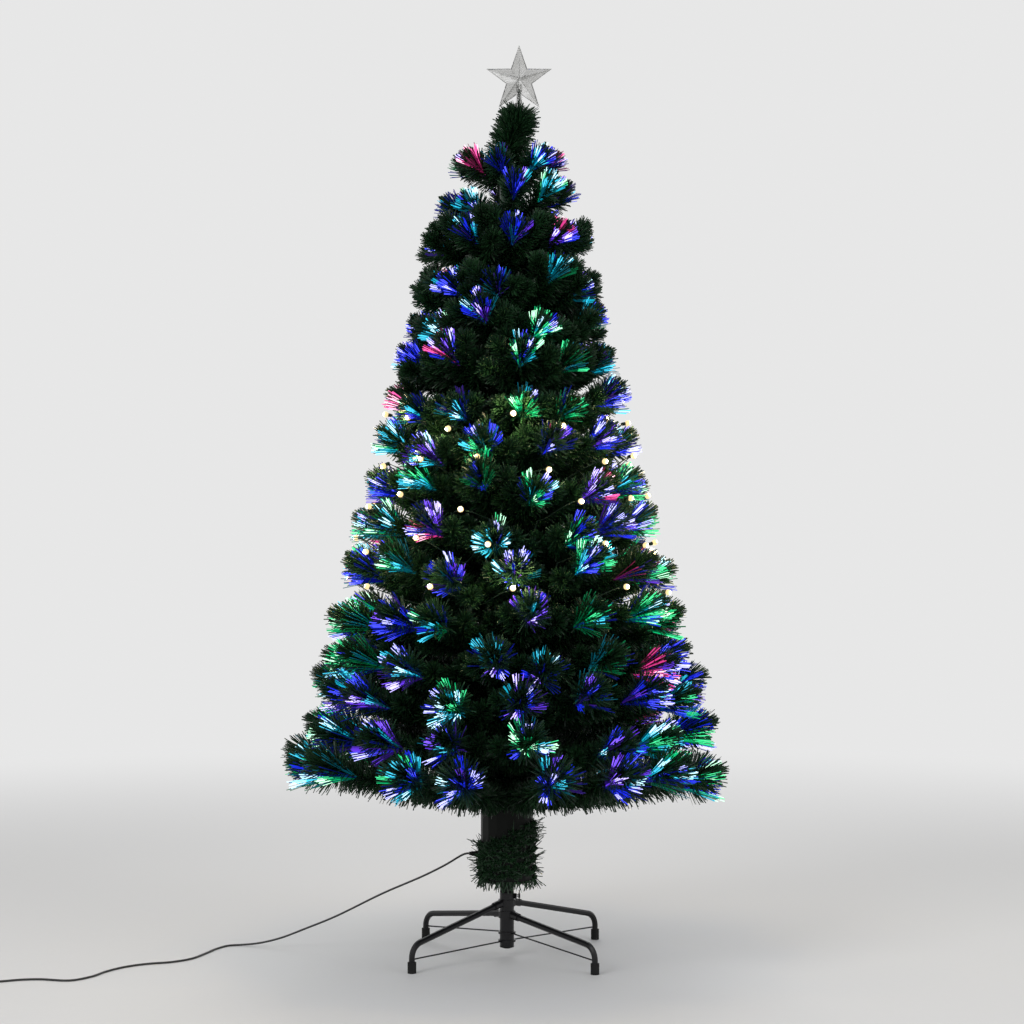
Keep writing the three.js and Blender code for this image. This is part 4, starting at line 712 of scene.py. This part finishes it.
def burst(fibres, hue, tip, axis, length, spread, rng):
    """Clumps of fibres that fan out from a branch's end, with their cut ends on a dome."""
    axis = axis / np.linalg.norm(axis)
    first, second = across(axis[None, :], np.zeros(1))
    first, second = first[0], second[0]
    root = tip + axis * (FIBRES_PAST_TIP - length)
    ways = [way for way, _ in CLUMP_LIGHTS]
    odds = [odd for _, odd in CLUMP_LIGHTS]
    clumps = rng.integers(*CLUMPS_PER_BURST)
    unlit_share = UNLIT_SHARES[rng.integers(len(UNLIT_SHARES))]
    for c in range(clumps):
        turned = rng.uniform(-CLUMP_TURN_SHARE, CLUMP_TURN_SHARE)
        clump_around = TURN * (c * GOLDEN_SHARE + turned)
        clump_out = math.sqrt((c + rng.uniform(0.0, 1.0)) / clumps)
        strand_hue = NEIGHBOURS[hue][rng.integers(len(NEIGHBOURS[hue]))]
        finish = ways[rng.choice(len(ways), p=odds)]
        unlit = rng.uniform() < unlit_share
        if unlit:
            finish = (0, 0, 0)
        rods = fibres.setdefault(strand_hue, Rods())
        fibres_here = rng.integers(*FIBRES_PER_CLUMP) // (2 if unlit else 1)
        looseness = UNLIT_LOOSENESS if unlit else 1.0
        lit_needles = LIT_NEEDLES if finish[2] > 1 else 0
        for number in range(fibres_here + lit_needles):
            aside = rng.normal(0, 1)
            width = CLUMP_WIDTH_SHARE * looseness * aside
            around = clump_around + width / max(clump_out, NARROWEST_SHARE)
            out = min(max(clump_out + rng.normal(0, CLUMP_DEPTH_SHARE * looseness), 0.0), 1.0)
            side = first * math.cos(around) + second * math.sin(around)
            reach = length * (1 - DOME_SHARE * out * out) * rng.uniform(*FIBRE_LENGTH_SHARES)
            droop = np.array([0, 0, -DROOP_SHARE * reach * out])
            stations = [
                root + axis * reach * t + side * (spread * out * t ** FLARE_POWER) + droop * t * t
                for t in FIBRE_STATION_SHARES
            ]
            # The extra rods are needles in the clump's dim glow: painted light from the clump
            if number >= fibres_here:
                rods.add(stations[1:], LIT_NEEDLE_RADIUS)
            else:
                lights = finish
                if abs(aside) > DIMMED_FROM:
                    lights = tuple(max(light - 1, 0) for light in finish)
                rods.add(stations, [FIBRE_RADIUS * swell for swell in FIBRE_SWELL_SHARES], lights)


# Side twigs, in metres and degrees
TWIG_SHARES = (0.42, 0.62)  # of the branch's length
TWIG_PLACE_SHARE = 0.04
TWIG_ANGLE, TWIG_ANGLE_SPREAD = 33.0, 4
TWIG_RISE, TWIG_RISE_SPREAD, SECOND_RING_RISE_SPREAD = 4, 9, 3
TWIG_LENGTH = 108.0 * MM
OUTER_TWIG_LOSS_SHARE = 0.22
TWIG_LENGTH_SHARES = (0.85, 1.05)
TWIG_FAN_SHARE = 0.86  # of the twig's length, from which its fan of needles grows
TWIG_BRUSH = Brush(2.7, 29.0 * MM, leans=(30, 48))
TWIG_FAN_BRUSH = Brush(5.6, 29.0 * MM, leans=(40, 86))
TWIG_RADIUS_SHARE = 0.7
STEM_RADIUS = 2.0 * MM
STEM_TAPER_SHARES = (1.2, 0.6)


def make_twigs(needles, stems, path, rise_spread, rng):
    """Side twigs to both sides of a branch."""
    for number, share in enumerate(TWIG_SHARES):
        for hand in (-1, 1):
            place = share + rng.uniform(-TWIG_PLACE_SHARE, TWIG_PLACE_SHARE)
            start, axis = place_along(path, np.array([place]))
            start, axis = start[0], axis[0]
            side = unit(np.cross(axis, UP))
            angle = math.radians(TWIG_ANGLE + rng.normal(0, TWIG_ANGLE_SPREAD))
            aim = axis * math.cos(angle) + side * (hand * math.sin(angle))
            aim = aim + np.array([0, 0, math.radians(rng.normal(TWIG_RISE, rise_spread))])
            length = TWIG_LENGTH * (1 - OUTER_TWIG_LOSS_SHARE * number) * rng.uniform(*TWIG_LENGTH_SHARES)
            twig = bent(start, start + aim / np.linalg.norm(aim) * length)
            clothe(needles, twig, TWIG_BRUSH, rng)
            clothe(needles, cut_path(twig, TWIG_FAN_SHARE, 1.0), TWIG_FAN_BRUSH, rng)
            stems.add(twig, STEM_RADIUS * TWIG_RADIUS_SHARE)


# Needles on the underside of the lowest ring's branches, on the trunk, and under the lowest ring, kept
# darker as painted shade
STRAND = Needle(41.0 * MM, 3.6 * MM, (0.8, 1.1), INNER_SHADES_WITH_PAINTED_SHADE)
STRANDS_PER_MM = 0.2
STRAND_PLACE_SHARES = (0.12, 0.98)
STRAND_FORWARD, STRAND_SPREAD = 0.6, 0.25
TRUNK_NEEDLE = Needle(NEEDLE_LENGTH, NEEDLE_WIDTH, (0.85, 1.1), INNER_SHADES_WITH_PAINTED_SHADE)
TRUNK_NEEDLES_PER_MM = 8.0
TRUNK_NEEDLE_LIFT = 0.4 * MM
TRUNK_NEEDLE_SPREAD = 0.4
SKIRT_NEEDLE = Needle(36.0 * MM, NEEDLE_WIDTH, (0.7, 1.05), INNER_SHADES_WITH_PAINTED_SHADE)
SKIRT_NEEDLES = 300
SKIRT_DISTANCES = (24.0, 56.0)
SKIRT_OUTWARD, SKIRT_SPREAD = 0.35, 0.3


def hang_strands(needles, path, rng):
    n = int(path_length(path) / MM * STRANDS_PER_MM)
    middle, axis = place_along(path, rng.uniform(*STRAND_PLACE_SHARES, n))
    directions = axis * STRAND_FORWARD - UP + rng.normal(0, STRAND_SPREAD, (n, 3))
    needles.add(middle, directions, STRAND, rng)


def clothe_trunk(needles, trunk, rng):
    n = int(path_length(trunk) / MM * TRUNK_NEEDLES_PER_MM)
    height = rng.uniform(trunk[0][2], trunk[1][2], n)
    out = all_level(rng.uniform(0, TURN, n))
    roots = out * (TRUNK_RADIUS + TRUNK_NEEDLE_LIFT) + UP * height[:, None]
    directions = out + rng.normal(0, TRUNK_NEEDLE_SPREAD, (n, 3))
    needles.add(roots, directions, TRUNK_NEEDLE, rng)


def hang_skirt(needles, sizes, rng):
    distance = rng.uniform(*SKIRT_DISTANCES, SKIRT_NEEDLES)
    out = all_level(rng.uniform(0, TURN, SKIRT_NEEDLES))
    height = sizes.root_height + (distance - ROOT_RADIUS) * math.tan(sizes.slope)
    roots = (out * distance[:, None] + UP * height[:, None]) * MM
    directions = out * SKIRT_OUTWARD - UP + rng.normal(0, SKIRT_SPREAD, (SKIRT_NEEDLES, 3))
    needles.add(roots, directions, SKIRT_NEEDLE, rng)


# Rings. Each branch ends in a fan of needles and a burst
AZIMUTH_SPREAD = 0.06  # radians
SHORTEST_TWIGGED = 150.0
TIP_MARGIN, LOWEST_RING_TIP_MARGIN = 32.0 * MM, 44.0 * MM  # from the stem's end to the branch's tip
BRANCH_BRUSH = Brush(2.7, NEEDLE_LENGTH, leans=(24.0, 40.0))
FAN_DEPTH = 30.0 * MM
FAN_NEEDLES_PER_MM, FAN_LEANS = 8.8, (18.0, 84.0)
FIRST_FAN_LENGTH, LAST_FAN_LENGTH, LOWEST_RING_FAN_LENGTH = 48.0 * MM, 36.0 * MM, 58.0 * MM
FIRST_SPREAD, LAST_SPREAD = 54.0, 33.0
BURST_ROOT_DEPTH = 18.0
TRUNK_COVER_BELOW, TRUNK_COVER_ABOVE = 34, 46  # from the ring's root
LOWEST_TRUNK_COVER_BELOW = 8

# Unevenness of the rings, in millimetres. The lowest is higher on its left and in front on its right
LEFT_RAISE, RIGHT_LOWERING = 29.0, 19.0
FRONT_RAISE, FRONT_RIGHT_RAISE = 16.0, 54.0
LOWEST_RING_LIFT, RING_LIFT, TOP_RING_LIFT = 12.0, 26.0, 9.0
RINGS_TO_FULL_LIFT = 3
TOP_RING_LOWERING = 12.0
LOWEST_RING_LOSS_SHARE, REACH_LOSS_SHARE = 0.025, 0.06


def lowest_ring_shift(x, y):
    """How much higher a branch of the lowest ring ends, by its direction from the trunk."""
    right, left, front = max(x, 0.0), max(-x, 0.0), max(-y, 0.0)
    sideways = LEFT_RAISE * left - RIGHT_LOWERING * right
    return sideways + FRONT_RAISE * front + FRONT_RIGHT_RAISE * right * front


def branch_ends(index, sizes, number, rng):
    """The root and the tip of one of a ring's branches."""
    highest = index == TIER_COUNT - 1
    azimuth = math.radians(TURN_BETWEEN_TIERS * index) + TURN * (number + 0.5) / sizes.branches
    azimuth += rng.normal(0, AZIMUTH_SPREAD)
    out = level(azimuth)
    loss_share = REACH_LOSS_SHARE if index else LOWEST_RING_LOSS_SHARE
    reach = sizes.reach * (1 - rng.uniform(0.0, loss_share))
    lift = between(LOWEST_RING_LIFT, RING_LIFT, min(1.0, index / RINGS_TO_FULL_LIFT))
    if highest:
        lift = TOP_RING_LIFT
    tip_height = sizes.tip_height + rng.uniform(-1, 1) * lift
    if highest:
        tip_height -= TOP_RING_LOWERING
    if index == 0:
        tip_height += lowest_ring_shift(*out[:2])
    root = (out * ROOT_RADIUS + [0, 0, sizes.root_height]) * MM
    return root, (out * reach + [0, 0, tip_height]) * MM


def make_branch(index, sizes, number, needles, stems, fibres, rng):
    root, tip = branch_ends(index, sizes, number, rng)
    axis = (tip - root) / np.linalg.norm(tip - root)
    share = index / (TIER_COUNT - 1)
    margin, fan_length = LOWEST_RING_TIP_MARGIN, LOWEST_RING_FAN_LENGTH
    if index:
        margin, fan_length = TIP_MARGIN, between(FIRST_FAN_LENGTH, LAST_FAN_LENGTH, share)
    path = bent(root, tip - axis * margin)
    heading = path[-1] - path[-2]
    heading = heading / np.linalg.norm(heading)
    fan_from = 1 - FAN_DEPTH / path_length(path)
    clothe(needles, cut_path(path, 0.0, fan_from), BRANCH_BRUSH, rng)
    fan_brush = Brush(FAN_NEEDLES_PER_MM, fan_length, FAN_LEANS)
    clothe(needles, cut_path(path, fan_from, 1.0), fan_brush, rng)
    if index == 0:
        hang_strands(needles, path, rng)
    elif sizes.reach > SHORTEST_TWIGGED:
        rise_spread = SECOND_RING_RISE_SPREAD if index == 1 else TWIG_RISE_SPREAD
        make_twigs(needles, stems, path, rise_spread, rng)
    tapers = [between(*STEM_TAPER_SHARES, t) for t in np.linspace(0, 1, len(path))]
    stems.add(path, [STEM_RADIUS * taper for taper in tapers])
    length = (sizes.burst + BURST_ROOT_DEPTH) * MM
    spread = between(FIRST_SPREAD, LAST_SPREAD, share) * MM
    burst(fibres, choose_hue(tip, share, rng), tip, heading, length, spread, rng)


def make_tier(index):
    sizes = tier_sizes(index)
    name = f"tier_{index + 1:02d}"
    body = section_of(index)
    rng = np.random.default_rng(seed=1000 + index)
    needles, fibres, stems = Needles(), {}, Rods(sides=6)
    for number in range(sizes.branches):
        make_branch(index, sizes, number, needles, stems, fibres, rng)
    if index < TIER_COUNT - 1:
        below = TRUNK_COVER_BELOW if index else LOWEST_TRUNK_COVER_BELOW
        heights = (sizes.root_height - below, sizes.root_height + TRUNK_COVER_ABOVE)
        clothe_trunk(needles, [UP * height * MM for height in heights], rng)
    if index == 0:
        hang_skirt(needles, sizes, rng)
    made = needles.piece(f"{name}_needles", [needle_green])
    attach(made, body)
    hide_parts(f"branch_{name}")
    made = stems.piece(f"{name}_stems", [stem_green])
    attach(made, body)
    for hue in sorted(fibres):
        made = fibres[hue].piece(f"{name}_fibres_{hue}", hue_materials[hue])
        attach(made, body)


for tier_index in range(TIER_COUNT):
    make_tier(tier_index)

# Leader
LEADER_BOTTOM, LEADER_BEND, LEADER_STRAIGHT, LEADER_TOP = 1552.0, 1574.0, 1674.0, 1712.0
LEADER_BRUSH_BOTTOM, LEADER_BRUSH_TOP = 1558.0, 1652.0
LEADER_BRUSH_STATIONS = 9
LEADER_LEAN = 24.0
LEADER_BRUSH = Brush(10.0, 46 * MM, leans=(2, 30))
CROWN_BRUSH = Brush(16.0, 42 * MM, leans=(15, 58))
CROWN_SHARE = 0.72  # of the brush's height, from which the crown's brush rounds off its top
LEADER_STEM_RADIUS = 3.0 * MM
LEADER_STEM_STATIONS = 20


def leader_point(height):
    share = (height - LEADER_BEND) / (LEADER_STRAIGHT - LEADER_BEND)
    share = min(max(share, 0.0), 1.0)
    return np.array([LEADER_LEAN * share * share * (3 - 2 * share), 0.0, height]) * MM


def make_leader():
    rng = np.random.default_rng(seed=77)
    needles = Needles()
    heights = np.linspace(LEADER_BRUSH_BOTTOM, LEADER_BRUSH_TOP, LEADER_BRUSH_STATIONS)
    path = [leader_point(height) for height in heights]
    clothe(needles, path, LEADER_BRUSH, rng)
    clothe(needles, cut_path(path, CROWN_SHARE, 1.0), CROWN_BRUSH, rng)
    made = needles.piece("leader_needles", [needle_green])
    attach(made, "top_section")
    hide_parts("leader")
    stem = Rods(sides=12)
    heights = np.linspace(LEADER_BOTTOM, LEADER_TOP, LEADER_STEM_STATIONS)
    stem.add([leader_point(height) for height in heights], LEADER_STEM_RADIUS)
    made = stem.piece("leader_stem", [stem_green])
    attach(made, "top_section")


make_leader()

# Needle garland wound round the housing: a low mat of needles, and tufts that stand out raggedly
HOUSING_RADIUS = 51.5
WRAP_BOTTOM = 151.0
WRAP_STEM_BOTTOM = WRAP_BOTTOM + 3
WRAP_TOP_MIDDLE = 240.0
WRAP_TOP_SLANT = 20.0  # higher on the right, lower on the left
WRAP_HEIGHT_SPREAD = 2.5
WRAP_TURNS = 6
WRAP_TURNS_AT_TOP = 0.6
WRAP_TUFTS = 170
WRAP_STEM_LIFT = 1.5
WRAP_WINDOW = 12.0
GLAND_HEIGHT = 202.0
# Tufts turn down from one height to the other, and lean along the garland at random
WRAP_UPRIGHT_FROM, WRAP_HANGING_FROM = 200, 140
WRAP_RISES, WRAP_RISE_SPREAD = (0.55, -0.95), 0.25
WRAP_LEAN_SPREAD = 0.35
WRAP_LEAST_OUTWARD = 0.15
WRAP_ALONG, WRAP_JITTER = 7, 0.6
# The mat and the tuft at each stop: count, kind and spread of direction
WRAP_NEEDLES = (
    (50, Needle(8.5 * MM, NEEDLE_WIDTH, (0.6, 1.08), NEEDLE_SHADES), 1.68),
    (2, Needle(29.0 * MM, 2.6 * MM, (0.6, 1.08), NEEDLE_SHADES), 0.42),
)
HEM_NEEDLE = Needle(23.0 * MM, NEEDLE_WIDTH, (0.5, 1.05), NEEDLE_SHADES)
HEM_NEEDLES = 150
HEM_HEIGHT = WRAP_BOTTOM + 2
HEM_OUTWARD, HEM_SPREAD = 0.25, 0.3


def wrap_stop(needles, angle, share, rng):
    """The mat and the tuft at one place of the garland's stem."""
    top = WRAP_TOP_MIDDLE + WRAP_TOP_SLANT * math.cos(angle)
    height = between(WRAP_STEM_BOTTOM, top, share) + rng.normal(0, WRAP_HEIGHT_SPREAD)
    out = level(angle)
    along = np.cross(UP, out)
    root = out * (HOUSING_RADIUS + WRAP_STEM_LIFT) + UP * height
    if root[0] < 0 and math.hypot(root[1], root[2] - GLAND_HEIGHT) < WRAP_WINDOW:
        return
    low = (WRAP_UPRIGHT_FROM - height) / (WRAP_UPRIGHT_FROM - WRAP_HANGING_FROM)
    rise = between(*WRAP_RISES, min(max(low, 0.0), 1.0)) + rng.normal(0, WRAP_RISE_SPREAD)
    lean = rng.normal(0.0, WRAP_LEAN_SPREAD)
    for n, kind, spread in WRAP_NEEDLES:
        directions = out + along * lean + UP * rise + rng.normal(0, spread, (n, 3))
        directions += out * np.clip(WRAP_LEAST_OUTWARD - directions @ out, 0, None)[:, None]
        roots = root + along * rng.uniform(-WRAP_ALONG, WRAP_ALONG, n)[:, None]
        roots = roots + rng.normal(0, WRAP_JITTER, (n, 3))
        needles.add(roots * MM, directions, kind, rng)


def make_wrap():
    rng = np.random.default_rng(seed=55)
    needles = Needles()
    turns = np.linspace(0, WRAP_TURNS, WRAP_TUFTS)
    climbed = np.clip(turns / (WRAP_TURNS - WRAP_TURNS_AT_TOP), 0, 1)
    for turn, share in zip(turns, climbed):
        wrap_stop(needles, TURN * turn, share, rng)
    out = all_level(rng.uniform(0, TURN, HEM_NEEDLES))
    roots = (out * (HOUSING_RADIUS + WRAP_STEM_LIFT) + UP * HEM_HEIGHT) * MM
    directions = out * HEM_OUTWARD - UP + rng.normal(0, HEM_SPREAD, (HEM_NEEDLES, 3))
    needles.add(roots, directions, HEM_NEEDLE, rng)
    made = needles.piece("housing_garland", [needle_green])
    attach(made, "base_section")
    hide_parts("trunk_wrap")


make_wrap()

# Plastic sleeve on the stretch of post that shows between the stand's tube and the housing
SLEEVE_RADIUS = 13.7
SLEEVE_WALL = 2.6
SLEEVE_CHAMFER = 0.5
SLEEVE_BOTTOM, SLEEVE_TOP = 125.4, 135.7
SLEEVE_SIDES = 48
SLEEVE_SMOOTH_ANGLE = math.radians(50)


def make_sleeve():
    profile = (
        (SLEEVE_RADIUS - SLEEVE_WALL, SLEEVE_BOTTOM),
        (SLEEVE_RADIUS - SLEEVE_CHAMFER, SLEEVE_BOTTOM),
        (SLEEVE_RADIUS, SLEEVE_BOTTOM + SLEEVE_CHAMFER),
        (SLEEVE_RADIUS, SLEEVE_TOP - SLEEVE_CHAMFER),
        (SLEEVE_RADIUS - SLEEVE_CHAMFER, SLEEVE_TOP),
        (SLEEVE_RADIUS - SLEEVE_WALL, SLEEVE_TOP),
    )
    out = all_level(TURN * np.arange(SLEEVE_SIDES) / SLEEVE_SIDES)
    loops = [(out * radius + UP * height) * MM for radius, height in profile]
    made = closed_piece("post_sleeve", loops, black_plastic)
    made.data.set_sharp_from_angle(angle=SLEEVE_SMOOTH_ANGLE)
    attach(made, "base_section")


make_sleeve()

# String of warm lamps: one turn in each space between two of the middle rings
STRING_DEPTH = 24.0
STRING_DIP = 62.0
STRING_SAG = 12.0
LAMP_SHIFTS = (14.0, 16.0)  # of a lamp, inwards and up or down
STRING_LAMPS_PER_TURN = 12
STRING_STEPS_PER_LAMP = 14
STRING_START = -58.0
STRING_CLIMB_HALF_ANGLE = 4.0
STRING_CLIMB_STEPS = 8
STRING_WIRE_RADIUS = 0.65 * MM
STRING_TWIST = 1.1  # radians from one station to the next
STRING_TWIST_SHARE = 1.1  # of a wire's radius, by which each wire lies off the middle
LEAD_DISTANCE = 14.9
LEAD_STEPS = 24
# Profiles of a lamp: distance outwards and radius
HOLDER_PROFILE = [(-4.0, 2.2), (-1.0, 3.4), (4.5, 3.7), (5.5, 2.9)]
BULB_PROFILE = [(4.8, 2.6), (6.6, 4.9), (9.6, 6.0), (13.6, 4.4), (15.2, 2.2)]
BULB_FINISHES = (0, 0, 0, 1)
LAMP_AIM_SPREAD = 0.35
LAMP_LIGHT_DISTANCE, LAMP_LIGHT_RADIUS = 20, 4 * MM
LAMP_LIGHT_COLOUR = (1.0, 0.76, 0.42)
LAMP_ENERGY, BRIGHTEST_LAMP_ENERGY = 0.22, 0.9
BRIGHTEST_LAMPS = ((44, 784), (44, 1064))  # across and height of the two that face the viewer


def space_near(index, wanted):
    """The azimuth between two of a ring's branches that is nearest to the wanted one."""
    step = TURN / tier_sizes(index).branches
    start = math.radians(TURN_BETWEEN_TIERS * index)
    return start + round((wanted - start) / step) * step


def string_place(index, azimuth, inwards, up=0.0):
    """Midway between two rings, inwards from the string's depth behind the branch tips."""
    tiers = (tier_sizes(index), tier_sizes(index + 1))
    distance = sum(tier.reach for tier in tiers) / 2 - STRING_DEPTH - inwards
    heights = [
        tier.tip_height - (tier.reach - distance) * math.tan(tier.slope)
        for tier in tiers
    ]
    return (level(azimuth) * distance + [0, 0, sum(heights) / 2 + up]) * MM


def straight_steps(first, last, steps):
    """Stations from the first place up to, but without, the last one."""
    return [first + (last - first) * share for share in np.linspace(0, 1, steps)[:-1]]


def string_route(rng):
    """The wire's stations, and the places of the lamps. Between two lamps the wire runs deep."""
    azimuth = math.radians(STRING_START)
    low = (tier_sizes(LOWER_TIERS).root_height + tier_sizes(LOWER_TIERS + 1).root_height) / 2
    lead = (level(azimuth) * LEAD_DISTANCE + [0, 0, low]) * MM
    stations = straight_steps(lead, string_place(LOWER_TIERS, azimuth, STRING_DIP), LEAD_STEPS)
    lamps = []
    climb = math.radians(STRING_CLIMB_HALF_ANGLE)
    last_index = LOWER_TIERS + MIDDLE_TIERS - 2
    for index in range(LOWER_TIERS, last_index + 1):
        following = space_near(index + 1, azimuth + TURN)
        start = azimuth + (climb if index > LOWER_TIERS else 0)
        end = following - climb
        inward_shifts = rng.uniform(0, 1, STRING_LAMPS_PER_TURN) * LAMP_SHIFTS[0]
        up_shifts = rng.uniform(-1, 1, STRING_LAMPS_PER_TURN) * LAMP_SHIFTS[1]
        lamp_shares = (np.arange(STRING_LAMPS_PER_TURN) + 0.5) / STRING_LAMPS_PER_TURN
        for share, inwards, up in zip(lamp_shares, inward_shifts, up_shifts):
            lamps.append(string_place(index, between(start, end, share), inwards, up))
        last_share = lamp_shares[-1] if index == last_index else 1.0
        step_share = 1 / (STRING_LAMPS_PER_TURN * STRING_STEPS_PER_LAMP)
        for share in np.arange(0.0, last_share, step_share):
            from_lamp = share * STRING_LAMPS_PER_TURN
            lamp = int(from_lamp)
            nearness = math.sin(math.pi * from_lamp) ** 2
            inwards = between(STRING_DIP, inward_shifts[lamp], nearness)
            up = between(-STRING_SAG, up_shifts[lamp], nearness)
            stations.append(string_place(index, between(start, end, share), inwards, up))
        if index < last_index:
            low_end = string_place(index, end, STRING_DIP, -STRING_SAG)
            high_end = string_place(index + 1, following + climb, STRING_DIP, -STRING_SAG)
            stations += straight_steps(low_end, high_end, STRING_CLIMB_STEPS)
        azimuth = following
    return np.array(stations), lamps


def lamp_nearest(lamps, x, z):
    """The number of the lamp on the viewer's side that is nearest to a place."""
    in_front = [number for number, lamp in enumerate(lamps) if lamp[1] <= 0]
    return min(in_front, key=lambda n: math.hypot(lamps[n][0] - x * MM, lamps[n][2] - z * MM))


def add_turned(rods, place, aim, profile, finishes=None):
    stations = [place + aim * distance * MM for distance, _ in profile]
    rods.add(stations, [radius * MM for _, radius in profile], finishes)


def make_string():
    """Two green wires wound round each other, with a lamp in its holder at each stop."""
    rng = np.random.default_rng(seed=31)
    stations, lamps = string_route(rng)
    brightest = {lamp_nearest(lamps, x, z) for x, z in BRIGHTEST_LAMPS}
    wires = Rods(sides=5)
    heading = unit(np.gradient(stations, axis=0))
    first, second = across(heading, np.zeros(len(stations)))
    phase = np.arange(len(stations)) * STRING_TWIST
    for start in (0.0, math.pi):
        offset = first * np.cos(phase + start)[:, None] + second * np.sin(phase + start)[:, None]
        wires.add(stations + offset * (STRING_WIRE_RADIUS * STRING_TWIST_SHARE), STRING_WIRE_RADIUS)
    made = wires.piece("string_wires", [wire_green])
    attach(made, "middle_section")
    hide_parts("lamp_string")
    holders, bulbs = Rods(sides=10), Rods(sides=12)
    for number, place in enumerate(lamps):
        out = unit(place * [1, 1, 0])
        aim = unit(out + rng.normal(0, LAMP_AIM_SPREAD, 3))
        add_turned(holders, place, aim, HOLDER_PROFILE)
        add_turned(bulbs, place, aim, BULB_PROFILE, BULB_FINISHES)
        light = bpy.data.lights.new(f"string_light_{number:02d}", "POINT")
        light.energy = BRIGHTEST_LAMP_ENERGY if number in brightest else LAMP_ENERGY
        light.color = LAMP_LIGHT_COLOUR
        light.shadow_soft_size = LAMP_LIGHT_RADIUS
        lamp = link_object(f"string_light_{number:02d}", light)
        lamp.location = place + aim * LAMP_LIGHT_DISTANCE * MM
        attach(lamp, "middle_section")
    made = holders.piece("string_holders", [wire_green])
    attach(made, "middle_section")
    made = bulbs.piece("string_bulbs", [string_glow, string_tip_glow])
    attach(made, "middle_section")


make_string()

# Finishes of the frame's own solids
NODE_FINISHES = {
    "black_steel": black_steel,
    "black_plastic": black_plastic,
    "cap_rubber": cap_rubber,
    "bright_steel": bright_steel,
    "trunk_green": trunk_green,
    "pale_plastic": pale_plastic,
    "board_green": board_green,
    "cord_black": cord_black,
    "string_wire": wire_green,
    "needle_green": needle_green,
    "lamp_glass": lamp_glass,
    "fibre_blue": bundle_glow,
    "clear_star": clear_star,
}
SMOOTH_ANGLE = math.radians(32)

for entry in frame["record"]["subparts"]:
    node = frame["nodes"][entry["node"]]
    node.data.materials.clear()
    node.data.materials.append(NODE_FINISHES[entry["material_slot"]])
    node.data.polygons.foreach_set("use_smooth", np.ones(len(node.data.polygons), bool))
    node.data.set_sharp_from_angle(angle=SMOOTH_ANGLE)

# Stage, in metres
FLOOR_HALF = 40.0
FLOOR_COLOUR = (0.62, 0.62, 0.62)
BACKGROUND = (0.80, 0.80, 0.80)
FADE_FROM, FADE_TO = 1.6, 4.2  # distance from the tree at which the floor turns into background
WORLD_LIGHT = 0.55
SOFTBOXES = (  # name, place, energy and size
    ("key", (-2.6, -3.2, 3.4), 90.0, 2.2),
    ("fill", (3.0, -2.4, 2.2), 45.0, 2.6),
    ("back", (0.4, 3.4, 3.2), 50.0, 2.4),
)
SOFTBOX_AIM = (0, 0, 0.8)


def background_rays(tree):
    """1 for the rays that show the background: straight, mirrored or through clear plastic."""
    path = add_node(tree, "LightPath")
    seen = path.outputs["Is Camera Ray"]
    for kind in ("Is Glossy Ray", "Is Transmission Ray"):
        seen = combined(tree, "MAXIMUM", seen, path.outputs[kind])
    return seen


def floor_material():
    made = material("floor", FLOOR_COLOUR, 0.7, spread=0.01)
    tree = made.node_tree
    place = add_node(tree, "NewGeometry").outputs["Position"]
    distance = add_node(tree, "VectorMath", {0: place})
    distance.operation = "LENGTH"
    fade = add_node(tree, "MapRange", {"From Min": FADE_FROM, "From Max": FADE_TO})
    fade.interpolation_type = "SMOOTHSTEP"
    set_inputs(tree, fade, {"Value": distance.outputs["Value"]})
    glow = add_node(tree, "Emission", {"Color": (*BACKGROUND, 1), "Strength": 1.0})
    mix = add_node(tree, "MixShader", {
        "Fac": combined(tree, "MULTIPLY", fade.outputs["Result"], background_rays(tree)),
        1: tree.nodes["Principled BSDF"].outputs["BSDF"],
        2: glow.outputs["Emission"],
    })
    set_inputs(tree, tree.nodes["Material Output"], {"Surface": mix.outputs["Shader"]})
    return made


def make_world():
    world = bpy.data.worlds.new("studio")
    bpy.context.scene.world = world
    world.use_nodes = True
    tree = world.node_tree
    tree.nodes.clear()
    seen = add_node(tree, "Background", {"Color": (*BACKGROUND, 1), "Strength": 1.0})
    light = add_node(tree, "Background", {"Color": (1, 1, 1, 1), "Strength": WORLD_LIGHT})
    mix = add_node(tree, "MixShader", {
        "Fac": background_rays(tree),
        1: light.outputs["Background"],
        2: seen.outputs["Background"],
    })
    add_node(tree, "OutputWorld", {"Surface": mix.outputs["Shader"]})


def make_stage():
    corners = ((-1, -1), (1, -1), (1, 1), (-1, 1))
    vertices = [(x * FLOOR_HALF, y * FLOOR_HALF, 0) for x, y in corners]
    floor = link_mesh("floor", vertices, [(0, 1, 2, 3)], [floor_material()])
    make_world()
    for name, place, energy, size in SOFTBOXES:
        data = bpy.data.lights.new(name, "AREA")
        data.energy = energy
        data.size = size
        lamp = link_object(name, data)
        lamp.location = place
        lamp.rotation_euler = (Vector(SOFTBOX_AIM) - Vector(place)).to_track_quat("-Z", "Y").to_euler()
        lamp.visible_transmission = False
    bpy.context.scene.view_settings.view_transform = "Standard"


make_stage()
